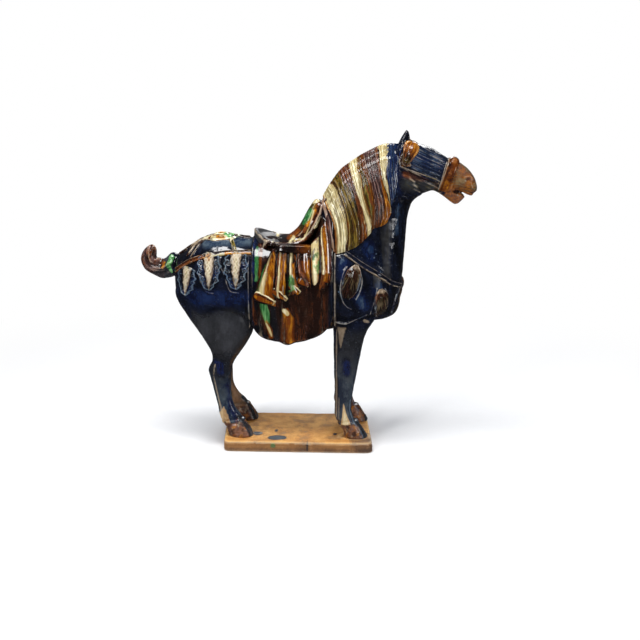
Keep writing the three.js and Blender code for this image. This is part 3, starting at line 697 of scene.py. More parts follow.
def headRelief(p):
    # heights over the head, along the normal
    x, y, z = p.T
    side = ramp(5, 12, np.abs(y))
    height = 0.35 * np.sin(acrossFace(x, z) * 0.9 + 1.0) * ramp(206, 216, x) * (1 - ramp(262, 276, x)) * side
    # cheek edge, with the jaw set back below it
    cheek = body["cheek"] - (x - 190) * 0.37
    band = ramp(184, 194, x) * (1 - ramp(254, 268, x)) * side
    height += band * (0.4 * bell(z - cheek, 2.0) - 2.2 * bell(z - cheek + 6.5, 4.0) + 0.4 * bell(z - cheek + 17, 5))
    # muzzle: nostril, hair curling back from it, lips
    u, w = awayFrom("nostril", x, z)
    ring = np.hypot(u * 0.9, w * 1.2)
    height += side * (1.7 * bell(ring - 7, 2.4) * ramp(-7, 3, w + u * 0.3) - 3.0 * bell(ring, 3.4))
    swirl = np.sin(ring * 1.0 + 1.6 * np.arctan2(w, u) + 0.8 * np.sin(w * 0.3))
    height += 0.2 * swirl * side * ramp(293, 300, x) * ramp(9, 13, ring) * (1 - ramp(26, 40, ring))
    lip = 499 - (x - 300) * 0.40
    height += side * ramp(292, 300, x) * (1.1 * bell(z - lip, 2.0) - 1.2 * bell(z - lip - 5.5, 2.4))
    height += side * ramp(284, 292, x) * 0.9 * bell(z - (495 - (x - 284) * 0.33), 2.0)
    u, w = awayFrom("eye", x, z)
    lid = np.hypot((u * 0.93 - w * 0.36) / 8, (u * 0.36 + w * 0.93) / 4.6)
    height += side * ramp(186, 190, x) * (1.5 * bell(lid - 1, 0.26) + 1.6 * bell(lid, 0.5))
    # hollow of the ear, open forwards and outwards
    u, w = awayFrom("earHollow", x, z)
    height -= 3.4 * bell(np.hypot(u / 5, w / 13), 1) * ramp(12, 15, np.abs(y)) * ramp(572, 577, z)
    return height


def tailRelief(p):
    # locks wound round the tail, loosening to a curl at its end
    rows = through(forms["tail"]["rows"], np.linspace(0, 1, 60))
    middle = np.stack([(rows[:, 0] + rows[:, 2]) / 2, (rows[:, 1] + rows[:, 3]) / 2], -1)
    height = np.zeros(len(p))
    here = np.flatnonzero(p[:, 0] < -236)
    q = p[here][:, [0, 2]]
    gap = np.linalg.norm(q[:, None] - middle[None], axis=2)
    i = np.argmin(gap, 1)
    way = np.gradient(middle, axis=0)[i]
    off = q - middle[i]
    turn = np.arctan2(p[here, 1], off[:, 0] * way[:, 1] - off[:, 1] * way[:, 0])
    twist = np.sin(3 * turn + i * 0.26)
    height[here] = (1.1 * twist + 0.4 * np.sin(9 * turn + i * 0.3)) * ramp(-238, -250, p[here, 0])
    return height


def legRelief(p):
    x, y, z = p.T
    height = np.zeros(len(p))
    for toe, heel in body["hooves"]:
        here = ramp(heel - 30, heel - 20, x) * (1 - ramp(toe + 25, toe + 35, x))
        top = 49 + (x - heel) * 0.16
        height += here * (1.1 * bell(z - top, 2.2) - 0.9 * bell(z - top - 5.5, 2.6) + 0.7 * bell(z - 68, 6))
        height += here * 0.25 * np.sin(z * 1.15 + x * 0.15) * (1 - ramp(38, 44, z)) * ramp(24, 28, z)
    u, w = awayFrom("hock", x, z)
    height += 1.2 * bell(np.hypot(u, w), 11) * (x < -150)
    u, w = awayFrom("knee", x, z)
    height += 1.3 * bell(np.hypot(u / 1.2, w), 14) * ramp(30, 40, np.abs(y)) * (z < 200)
    u, w = awayFrom("flank", x, z)
    height -= 1.6 * bell(np.hypot(u / 1.4, w), 16) * ramp(40, 60, np.abs(y))
    return height


# Thin raised lines by x and z: round the tassels, under the shoulder, between the pendants and beside the cloth
seams = {"height": 1.0, "width": 1.5, "lines": [
    [(92, 360), (86, 350), (82, 335), (80, 318), (83, 300), (91, 286), (101, 281)],
    [(112, 362), (118, 350), (121, 334), (117, 314), (110, 300)],
    [(149, 320), (146, 302), (140, 282), (137, 270)], [(164, 318), (170, 305), (168, 288), (160, 272), (152, 262)],
    [(70, 252), (90, 250), (108, 258), (122, 264), (130, 268)],
    [(-147, 374), (-147, 362), (-142, 352), (-139, 345)], [(-130, 362), (-137, 352), (-130, 338)],
    [(-136, 335), (-128, 314), (-112, 310)], [(-188, 345), (-183, 330), (-172, 311), (-160, 309)],
    [(-93, 385), (-94, 240)], [(69.5, 382), (69.5, 245)]]}


def seamField(p):
    # millimetres inside the raised lines
    return painted(p, [[(x, z, 0) for x, z in pathThrough(line, 30, 12)] for line in seams["lines"]], 21)


def makeBody():
    parts = []
    for name, form in forms.items():
        for side in ((near, far) if form.get("pair") else (far,)):
            parts.append((*loft(name, side), {}))
    piece = joined("horse_body", parts)
    remesh(piece, body["voxel"])
    p, edges = pointsOf(piece), edgesOf(piece)
    fine = (ramp(176, 190, p[:, 0]) * ramp(455, 475, p[:, 2]))[:, None]  # head and ears keep their edges
    p = lerp(relaxed(p, edges, body["soften"]), relaxed(p, edges, 4), fine)
    setPoints(piece, p)
    height = headRelief(p) * fine[:, 0] + tailRelief(p) + legRelief(p)
    height += seams["height"] * bell(seamField(p), seams["width"]) * ramp(6, 16, np.abs(p[:, 1]))
    height += 0.45 * ripple(p, 34, 3) + 0.25 * ripple(p, 10, 4)
    height *= ramp(21.2, 26, p[:, 2])
    setPoints(piece, p + normalsOf(piece) * height[:, None])
    markRidges(piece, 30)
    # the small forms of head and hooves are all curved: their ridges count for less
    small = np.maximum(ramp(270, 285, p[:, 0]), ramp(66, 54, p[:, 2]))
    setField(piece, "ridge", getField(piece, "ridge") * (1 - 0.75 * small))
    applyModifier(piece, "DECIMATE", ratio=min(1, budget[piece.name] / faceCount(piece)))
    print("body", faceCount(piece))
    return piece


horseBody = makeBody()
bodyTree = BVHTree.FromObject(horseBody, bpy.context.evaluated_depsgraph_get())


aside, aboveCrest = 200.0, 0.185  # where side rays start, in mm, and the part of a lost ray that is searched, in m


def skinFrom(starts, ways):
    # where rays meet the body, and the way out there
    spots, outs = np.empty((len(starts), 3)), np.empty((len(starts), 3))
    starts = (starts + shift) / 1000
    for i in range(len(starts)):
        hit, normal, _, _ = bodyTree.ray_cast(Vector(starts[i]), Vector(ways[i]))
        if hit is None:  # above the crest: the nearest skin to the ray's middle
            hit, normal, _, _ = bodyTree.find_nearest(Vector(starts[i] + ways[i] * aboveCrest))
        spots[i], outs[i] = hit, normal
    return spots * 1000 - shift, outs


def flankWay(side):
    # seen straight from one side, by x and z
    def way(x, z):
        starts = np.stack([x, np.full(np.shape(x), side * aside), z], -1).reshape(-1, 3)
        return skinFrom(starts, np.tile([0.0, -side, 0.0], (len(starts), 1)))
    return way


def chestWay(angle, z):
    # by the angle round the chest from straight ahead, near side below 0, and by z
    angle, z = np.radians(np.ravel(angle)), np.ravel(z)
    ways = np.stack([np.cos(angle), np.sin(angle), 0 * z], -1)
    middles = np.stack([np.full(z.shape, float(chestAxis)), 0 * z, z], -1)
    return skinFrom(middles + ways * outside, -ways)


def backWay(x, angle):
    # by x and the angle over the back from the spine, near side below 0
    angle, x = np.radians(np.ravel(angle)), np.ravel(x)
    ways = np.stack([0 * x, np.sin(angle), np.cos(angle)], -1)
    middles = np.stack([x, 0 * x, np.full(x.shape, float(barrelAxis))], -1)
    return skinFrom(middles + ways * outside, -ways)


def smoothRun(points, steps):
    points = points.copy()
    for _ in range(steps):
        points[1:-1] += 0.5 * ((points[:-2] + points[2:]) / 2 - points[1:-1])
    return points


def strap(found, width, profile):
    # profile(share) gives heights over -1..1; the edges sink into the body
    spots, outs = smoothRun(found[0], 4), smoothRun(found[1], 10)
    ways = np.gradient(spots, axis=0)
    across = np.cross(ways, outs)
    across /= np.linalg.norm(across, axis=1)[:, None]
    share = np.linspace(-1, 1, 17)[None] * np.ones((len(spots), 1))
    height = profile(share)
    height[:, [0, -1]] = -1.5
    side = across[:, None] * (share * (width / 2))[..., None]
    outer = spots[:, None] + side + outs[:, None] * height[..., None]
    inner = spots[:, None] + side * 0.9 - outs[:, None] * 3
    points, faces = shell(outer, inner)
    shares, ridge = twice(share, height - height.mean())
    return points, faces, {"share": shares, "ridge": ridge * 0.3}


def patch(way, centre, size, tilt, relief, step=0.8, soften=10, fineSteps=16):
    # a relief laid over the skin; relief(a, b) gives millimetres for -1..1 across and downwards
    step *= 1
    columns, rows = (max(8, int(s / step)) for s in size)
    a, b = np.meshgrid(np.linspace(-1.06, 1.06, columns), np.linspace(-1.06, 1.06, rows))
    u, v = a * size[0] / 2, -b * size[1] / 2
    ct, st = math.cos(tilt), math.sin(tilt)
    spots, outs = way(centre[0] + u * ct + v * st, centre[1] - u * st + v * ct)
    spots, outs = spots.reshape(rows, columns, 3), outs.reshape(rows, columns, 3)
    spots, outs = softened(spots, soften), softened(outs, soften)
    outs /= np.linalg.norm(outs, axis=2)[..., None]
    height = relief(a, b)
    soft = softened(height.copy(), fineSteps)
    outer = spots + outs * height[..., None]
    inner = spots - outs * (3 + np.maximum(-height, 0))[..., None]
    points, faces = shell(outer, inner)
    aa, bb, ridge = twice(a, b, height - soft)
    return points, faces, {"across": aa, "down": bb, "ridge": ridge}


# Mane: strand lines from the crest to the hem, counted in strands from the withers

mane = {"strands": 33, "pitch": 4.2, "thickness": 5, "depth": 1.1, "columns": 9, "rows": 130, "lines": [
    (0, [(44, 486), (49, 472), (59, 456), (65, 440), (68.5, 424), (70, 403), (69.5, 382)]),
    (5, [(57, 508), (66, 500), (71, 486), (80, 465), (86, 447), (89, 426), (90, 405), (88.5, 387)]),
    (9, [(76, 534), (84, 515), (90, 497), (97, 478), (103, 460), (108, 441), (110, 420), (110, 397)]),
    (13, [(92, 547), (99, 529), (105, 511), (111, 494), (117, 474), (123.5, 455), (128, 438), (129, 414)]),
    (16, [(108, 558), (109, 538), (115, 524), (117, 506), (121, 487), (128, 466), (135, 449), (138, 436),
          (137, 424)]),
    (19, [(119, 565), (124, 543), (131, 524), (136, 507), (140, 488), (142, 471), (142, 452), (141, 430)]),
    (26, [(147, 579), (151, 552), (155, 529), (160, 508), (166, 488), (171, 467), (172, 455), (166, 441)]),
    (29, [(164, 584), (163, 558), (164, 529), (168, 508), (171, 491), (173, 481), (174, 470)]),
    (33, [(190, 584), (189, 559), (189, 530), (189, 511), (187, 500), (182, 490)])],
    # over the crest to the far side: y and drop
    "crest": [(9.5, 13), (8.5, 7), (5.5, 2.6), (3, 0.8)]}


def makeMane():
    strands, pitch = mane["strands"], mane["pitch"]
    columns, rows = strands * mane["columns"], mane["rows"]
    counts = np.array([u for u, _ in mane["lines"]], float)
    lines = np.array([evened(line, rows) for _, line in mane["lines"]])
    u = np.linspace(0, strands, columns)
    where = np.interp(u, counts, np.linspace(0, 1, len(counts)))
    path = through(lines, where)  # columns, rows, x and z
    x, z = path[..., 0], path[..., 1]
    t = np.linspace(0, 1, rows)[None] * np.ones((columns, 1))
    length = np.concatenate([np.zeros((columns, 1)), np.cumsum(np.hypot(np.diff(x), np.diff(z)), 1)], 1)
    # strands wander and split: a wavering count gives round ridges with sharp hollows between
    rng = np.random.default_rng(5)
    waver = sum(rng.uniform(0.2, 0.5) * np.sin(u[:, None] * rng.uniform(0.5, 1.6) + length * rng.uniform(0.01, 0.03)
                + rng.uniform(0, 6)) for _ in range(4)) * 0.5
    count = u[:, None] + waver * ramp(0, 40, length)
    strand = np.abs(np.sin(math.pi * count))
    fine = np.abs(np.sin(math.pi * (count * 3 + 0.3 * np.sin(length * 0.05))))
    lock = np.sin(count * math.pi / 3.2 + 0.4) * 0.5
    depth = mane["depth"] * (0.75 + 0.35 * np.sin(np.floor(count) * 2.4))
    end = ramp(1, 0.94, t)
    ridge = (depth * strand**0.7 + 0.7 * fine**0.8 + lock) * ramp(0, 6, length)
    front = ramp(strands, 29.8, u)[:, None]
    inward = 9 * (1 - ramp(0, 50, length))
    dx, dz = np.gradient(x, axis=1), np.gradient(z, axis=1)
    size = np.hypot(dx, dz)
    reach = reachOf("neck", x + dx / size * inward, z + dz / size * inward)
    reach = np.maximum(reach, reachOf("torso", x, z))
    clay = mane["thickness"] * (0.55 + 0.45 * end) * front + ridge * (0.4 + 0.6 * end) * (0.1 + 0.9 * front)
    y = reach * ramp(-4, 28, length) + clay * np.minimum(1, (length / 9) ** 0.6)
    y = y - 2.5 * ramp(strands - 1, strands, u)[:, None]
    outer = np.stack([x, -y, z + np.where(length < 1, 0.7 * strand, 0)], -1)
    over = []
    for side, drop in mane["crest"]:
        back = outer[:, 0].copy()
        back[:, 1], back[:, 2] = side, back[:, 2] - drop
        back[:, 0] += drop * 0.35
        over.append(back)
    outer = np.concatenate([np.stack(over, 1), outer], 1)
    inner = outer.copy()
    first = len(over)
    inner[:, first:, 1] = np.minimum(-(y - 9 - ridge), 2)
    inner[:, :first, 1] -= 6
    inner[:, :first + 1, 2] -= 6
    points, faces = shell(outer, inner)
    counts, ts, ridges = twice(*(np.concatenate([grid[:, :1].repeat(first, 1), grid], 1)
                                 for grid in (count, t, ridge - averaged(ridge, 19))))
    piece = joined("combed_mane", [(points, faces, {"ridge": ridges * 0.55, "line": counts * pitch})])

    def band(*edges):
        # millimetres inside a band whose edges, in strands, are given down the strand's length
        at, low, high = np.array(edges, float).T
        return pitch * np.minimum(counts - np.interp(ts, at, low), np.interp(ts, at, high) - counts)

    stripes = (np.sin(counts * math.pi) + np.sin(counts * math.pi * 2.7 + ts * 3)) * 1.2
    # clay combed wet, one colour to each lock: long shiny runs that lie dark between the strands
    finish(piece, "combedManeGlaze", "bistre", [
        ("brown", band((0, 5, 14), (1, 5, 14)) + stripes + 1.5, 16),
        ("mauve", band((0, 7, 12.6), (0.3, 8, 12.4), (0.5, 9, 11), (0.56, 9, 9)) - 2, 16, 0.6),
        ("brown", band((0, 16, 20), (0.5, 16, 20), (1, 16, 20)), 14, 0.8),
        ("mauve", band((0, 19, 26), (0.45, 19.5, 25.6), (0.75, 20.5, 23.5), (0.85, 21, 21)), 12, 0.85),
        ("brown", band((0.5, 22, 22), (0.7, 19.4, 24), (1, 19, 24.2)) - 1, 14, 0.6),
        ("amber", np.minimum(band((0, 5, 12), (0.3, 5, 10), (0.55, 5, 9), (0.7, 5, 13), (1, 5, 13)),
                             stripes) - 0.8, 14),
        ("olive", band((0, 5, 9), (0.35, 5, 12), (0.6, 5, 11)) - 3, 18, 0.75),
        ("olive", band((0, 15.8, 18), (0.3, 15.8, 19.2), (0.9, 15.9, 19), (1, 16, 19)) - 1.5, 16, 0.9),
        ("amber", np.minimum(band((0, 15.8, 19.5), (1, 16, 19.4)), stripes) - 0.8, 12, 0.85),
        ("amber", band((0.3, 24.9, 25.6), (0.6, 24.2, 26.4), (0.8, 23, 27), (1, 22, 27)), 10),
        ("cobalt", band((0, 29, 36), (0.8, 29, 36), (1, 28.6, 36)), 5),
        ("mist", np.minimum(band((0, 29.6, 36), (0.8, 29.6, 36), (1, 29.6, 36)), 0) - 0.8, 14, 0.7),
        ("cream", band((0, -1, 5.4), (0.3, 0.6, 5.3), (0.7, 0.7, 5.2), (1, 0.7, 5)), 8),
        ("cream", band((0, 13, 16), (0.4, 13.2, 16.1), (0.8, 13.2, 16), (1, 13.4, 16)), 8),
        ("cream", band((0, 26.2, 29.2), (0.4, 26.4, 29.1), (0.8, 27, 28.6), (0.95, 27.6, 28.2)), 8),
        ("olive", band((0, 0, 5), (0.3, 0.6, 5), (0.6, 0.7, 5), (1, 2, 2)) - 4.2, 16, 0.35),
        ("amber", band((0, -3, 0.5), (0.1, -3, 0.9), (1, -3, 0.5)), 4, 0.9),
        ("bistre", (-0.28 - ridges) * 6, 6, 0.6, 1.6),
    ], {"stretch": 0.2, "pool": 6, "breakTo": "cream", "breakMost": 0.25, "breakAt": (0.25, 0.6), "lines": 1.3,
        "linePitch": 1.7, "ridgeShare": 0.45, "thickAt": (0.38, 0.8), "gloss": 0.12, "bump": 0.08})


makeMane()


# Forelock: combed from a dome between the ears down to each eye

forelock = {"place": (205, 566), "size": (31, 46), "tilt": 0.5, "rise": 7, "locks": 5,
            "widths": ([-1, -0.9, -0.6, -0.2, 0.2, 0.6, 1], [0.55, 0.86, 1, 0.86, 0.66, 0.46, 0.24])}


def makeForelock():
    parts = []
    for side in (near, far):
        def relief(a, b):
            width = np.interp(b, *forelock["widths"])
            sway = a - 0.12 * np.sin(b * 2.4)
            inside = np.clip(1 - np.abs(sway) / width, 0, 1)
            comb = np.abs(np.sin(sway / width * forelock["locks"] + 0.4 * np.sin(b * 3)))
            h = forelock["rise"] * np.sqrt(inside) * (0.5 + 0.5 * bell(b + 0.6, 0.5))
            h += 0.6 * comb * ramp(0, 0.2, inside)
            return np.where(inside > 0, h, -2.8) * ramp(1.05, 0.9, b) - 2.5 * ramp(0.9, 1.0, b)
        parts.append(patch(flankWay(side), forelock["place"], forelock["size"], forelock["tilt"], relief, 0.6, 3))
    piece = joined("forelock", parts)
    down, across = getField(piece, "down"), getField(piece, "across")
    width = np.interp(down, *forelock["widths"])
    setField(piece, "line", across / width * 13)
    # combed clay under amber that ran down to brown: a bright dome over a dark tip
    finish(piece, "forelockGlaze", "brown", [
        ("amber", (-0.1 - down) * 6 - 0.5, 22, 0.85),
        ("bistre", (down - 0.05) * 12, 16, 0.95),
        ("olive", (down + 0.1) * 8 - 3, 20, 0.3),
        ("bistre", (down - 0.62) * 14, 8),
    ], {"breakMost": 0.12, "breakAt": (0.3, 0.8), "stretch": 0.5, "lines": 1.2, "linePitch": 1.5,
        "thickAt": (0.34, 0.76), "gloss": 0.16})


makeForelock()


# Saddlecloth over the back, its hem rows given by x and height

cloth = {"hem": [(-89, 260), (-87, 246), (-80, 232), (-66, 221), (-50, 216), (-36, 214), (-20, 208), (-4, 213),
                 (14, 217), (32, 223), (46, 231), (57, 242), (64, 255), (67, 272)],
         "ends": (-89, 67), "thickness": 6, "tuck": 9, "rim": 1.3}
hemAt = through(cloth["hem"], np.linspace(0, 1, 300)).T


def clothReach(x, z):
    hem = np.interp(x, *hemAt)
    down = np.maximum(0, (barrelAxis - z) / (barrelAxis - hem))
    return bodyReach(x, np.maximum(z, barrelAxis)) + cloth["thickness"] - cloth["tuck"] * down**2


def makeCloth():
    columns, half = ((230, 170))
    hind, fore = cloth["ends"]
    x = np.linspace(hind, fore, columns)
    hem = np.interp(x, *hemAt)
    sides = []
    for side in (near, far):
        s = np.linspace(0, 1, half // 2)[:, None]
        z = lerp(hem[None], barrelAxis, s)
        xs = x[None] * np.ones(z.shape)
        y = side * clothReach(xs, z)
        low = np.stack([xs, y, z], -1)
        outLow = np.zeros(low.shape) + [0, side, 0]
        angle = np.linspace(90, 0, half - half // 2 + 1)[1:]
        xx, aa = np.meshgrid(x, side * angle)
        spots, outs = backWay(xx, aa)
        spots, outs = spots.reshape(xx.shape + (3,)), outs.reshape(xx.shape + (3,))
        ways = np.stack([0 * xx, np.sin(np.radians(aa)), np.cos(np.radians(aa))], -1)
        high = spots + ways * cloth["thickness"]
        grid, outs = np.concatenate([low, high]), np.concatenate([outLow, ways])
        drop = np.concatenate([(z - hem[None]), np.full(xx.shape, 200.0)])
        sides.append((grid, outs, drop))
    grid, outs, drop = (np.concatenate([a, b[::-1][1:]]) for a, b in zip(*sides))
    grid = softened(grid, 12)
    end = np.minimum(x - hind, fore - x)[None] * np.ones(drop.shape)
    edge = np.minimum(drop, end)
    # a rolled rim, soft falling folds and a dimpled surface
    height = cloth["rim"] * bell(edge - 3, 2.2) - 1.5 * bell(edge, 1.2)
    fall = ramp(0, 60, 320 - grid[..., 2])
    height += fall * (0.8 * np.sin(grid[..., 0] * 0.16 + 0.6 * np.sin(grid[..., 2] * 0.04))
                      + 0.5 * np.sin(grid[..., 0] * 0.43 + 1.2)) + 0.3 * ripple(grid, 14, 9)
    outer = grid + outs * height[..., None]
    inner = grid - outs * (cloth["thickness"] + 3)
    points, faces = shell(outer, inner)
    height, edge = twice(height, edge)
    piece = joined("saddlecloth", [(points, faces, {"ridge": height * 0.12})])
    # brown glaze flooded on thick: falls in shiny sheets, amber where it ran thin
    finish(piece, "saddleclothGlaze", "bistre", [
        ("brown", [[(0, 300, 11), (4, 220, 11)], [(26, 290, 8), (26, 240, 8)], [(-70, 300, 5), (-62, 240, 5)]],
         26, 0.42, 4),
        ("brown", [[(44, 330, 12), (46, 240, 10)], [(-40, 330, 10), (-36, 290, 8)]], 20, 0.3, 4),
        ("midnight", [[(-86, 420, 14), (-86, 250, 8)], [(64, 330, 5), (62, 250, 5)], [(-80, 250, 8), (-66, 226, 5)]],
         8, 1, 2),
        ("charcoal", [[(-46, 280, 6), (-42, 222, 7)]], 10, 0.8),
        ("cobalt", [[(-86, 400, 6), (-85, 330, 4)]], 10),
        ("brown", [[(-72, 396, 5), (-72, 300, 4)], [(-86, 300, 3), (-80, 250, 4)]], 10, 1, 2),
        ("amber", [[(-70, 390, 1.5), (-71, 340, 1)]], 8, 0.7, 2),
        ("green", [[(-78, 392, 2), (-78, 335, 3)], [(-64, 292, 6), (-60, 272, 8), (-58, 252, 4)]], 9, 0.9),
        ("amber", [[(-60, 256, 2), (-54, 240, 4), (-50, 224, 3)], [(-22, 276, 6), (-16, 258, 11), (-14, 222, 11)]],
         8, 1, 2.5),
        ("brown", [[(-28, 262, 3), (-27, 222, 5)], [(-3, 268, 4), (-3, 222, 6)]], 8, 0.9, 4),
        ("cream", [[(-60, 252, 1), (-53, 236, 2.2), (-50, 226, 1.2)], [(-25, 278, 4), (-20, 272, 4)]], 4),
        ("midnight", 3.2 - edge, 3),
    ], {"stretch": 0.16, "pool": 8, "breakMost": 0.25, "breakAt": (0.14, 0.45), "thickAt": (0.34, 0.8),
        "lines": 0.5, "linePitch": 2.4, "gloss": 0.11})


makeCloth()


# Drapes: fold lines from the saddle's edge to the hem, each with its rise off the cloth

drapes = {
    "rows": 110, "each": 9,  # steps down a fold and across it
    "under": [
        (0.5, [(-49, 393), (-60, 368), (-70, 345), (-77, 320), (-82, 303), (-80, 296)]),
        (8, [(-47, 392), (-53, 376), (-62, 345), (-67, 322), (-69, 308), (-71, 294)]),
        (7, [(-44, 392), (-47, 375), (-50, 350), (-53, 325), (-57, 306), (-60, 292)]),
        (4, [(-41, 392), (-43, 370), (-44, 345), (-46, 320), (-45, 300), (-42, 286)]),
        (0, [(-39, 392), (-40, 370), (-41, 345), (-44, 318), (-42, 300), (-38, 290)]),
        (5, [(-37, 392), (-38, 370), (-39, 345), (-43, 318), (-44, 306)]),
        (8, [(-33, 392), (-34, 365), (-35, 345), (-37, 322), (-36, 308), (-34, 302)]),
        (4, [(-28, 392), (-28, 360), (-29, 335), (-31, 312), (-28, 300)]),
        (7, [(-23, 392), (-24, 360), (-25, 338), (-27, 315), (-24, 298)]),
        (0, [(-18, 392), (-18, 360), (-18, 335), (-20, 312), (-20, 300)]),
        (8, [(-13, 392), (-14, 365), (-13, 345), (-12, 330), (-8, 318), (-5, 312)]),
        (6, [(-7, 392), (-8, 365), (-7, 345), (-4, 328), (1, 316), (2, 310)]),
        (1, [(-3, 392), (-3, 365), (-1, 345), (4, 330), (7, 322)]),
        (7, [(1, 392), (2, 368), (4, 352), (10, 344), (17, 336), (21, 326)]),
        (4, [(9, 392), (10, 370), (12, 356), (17, 347), (22, 335), (24, 324)]),
        (6, [(19, 394), (20, 370), (21, 350), (23, 338), (25, 324)]),
        (0, [(23, 396), (24, 365), (25, 345), (26, 325)])],
    "pommel": [
        (1, [(24, 400), (25, 365), (27, 340), (30, 326)]),
        (5, [(30, 408), (31, 370), (33, 345), (34, 328)]),
        (3, [(38, 414), (40, 380), (40, 355), (38, 332)]),
        (1.5, [(41, 420), (42, 385), (43, 355), (41, 330)]),
        (7, [(43, 430), (44, 405), (48, 382), (50, 358), (47, 338), (41, 322)]),
        (5, [(47, 436), (52, 405), (55, 375), (56, 350), (51, 330), (44, 318)]),
        (5, [(52, 450), (58, 410), (60, 375), (61, 350), (58, 332), (50, 318)]),
        (0, [(55, 456), (62, 410), (64, 375), (65, 350), (63, 336), (55, 326)])],
    # turned toes at the pleats' ends: middle, length, height, tilt and rise
    "toes": [(-62, 300, 44, 25, 0.38, 11), (-33, 308, 34, 19, 0.6, 9), (-5, 320, 26, 17, 0.62, 8),
             (12, 333, 24, 26, 0.5, 6)],
    "band": (-9, 392, 66, 17, 0.02, 8),
}


def drapeReach(x, z):
    return np.maximum(clothReach(x, z), np.minimum(57 + (394 - z) * 0.43, 76))


def drapeBody(lines, side):
    rows, each = ((drapes["rows"], drapes["each"]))
    rises = np.array([[rise] for rise, _ in lines], float)
    paths = np.array([evened(line, rows) for _, line in lines])
    where = np.linspace(0, 1, (len(lines) - 1) * each + 1)
    path, rise = through(paths, where), np.maximum(through(rises, where), -0.5)
    x, z = path[..., 0], path[..., 1]
    t = np.linspace(0, 1, rows)[None]
    rise = rise * (0.45 + 0.55 * t**0.7)
    # creases: each fold has a narrow crest
    crest = rise - averaged(rise, 9)
    height = rise + 0.9 * crest
    height -= 2.5 * ramp(0.965, 1, t)
    y = drapeReach(x, z) + height
    outer = np.stack([x, side * y, z], -1)
    inner = np.stack([x, side * (y - height - 8), z + 2 * ramp(0.9, 1, t)], -1)
    points, faces = shell(outer, inner)
    folds, ts, ridge = twice(where[:, None] * (len(lines) - 1) * np.ones(x.shape), t * np.ones(x.shape), crest)
    return points, faces, {"fold": folds, "t": ts, "ridge": ridge * 0.2, "line": folds * 6}


def toeBody(x0, z0, length, height, tilt, rise, side):
    # a plump turned corner with a lip along its upper edge; a longer one is a straight band
    share, down = np.meshgrid(np.linspace(-1, 1, 50), np.linspace(-1, 1, 36))
    taper = 1 - 0.2 * share**8
    if length < 50:
        taper = np.interp(share, [-1, -0.9, -0.6, 0.2, 1], [0.3, 0.7, 1, 0.8, 0.35])
    u, v = share * length / 2, -down * taper * height / 2
    x, z = x0 + u * math.cos(tilt) + v * math.sin(tilt), z0 - u * math.sin(tilt) + v * math.cos(tilt)
    plump = np.sqrt(np.maximum(0, (1 - share**4) * (1 - np.abs(down) ** 3)))
    h = rise * plump + 1.6 * bell(down + 0.72, 0.16) * (1 - share**4) - 1.2
    y = drapeReach(x, z) + h
    outer = np.stack([x, side * y, z], -1)
    inner = np.stack([x, side * (y - h - 7), z], -1)
    points, faces = shell(outer, inner)
    d, s, ridge = twice(down, share, 1.6 * bell(down + 0.72, 0.16) - 0.3)
    return points, faces, {"down": d, "toe": s, "ridge": ridge * 0.2}


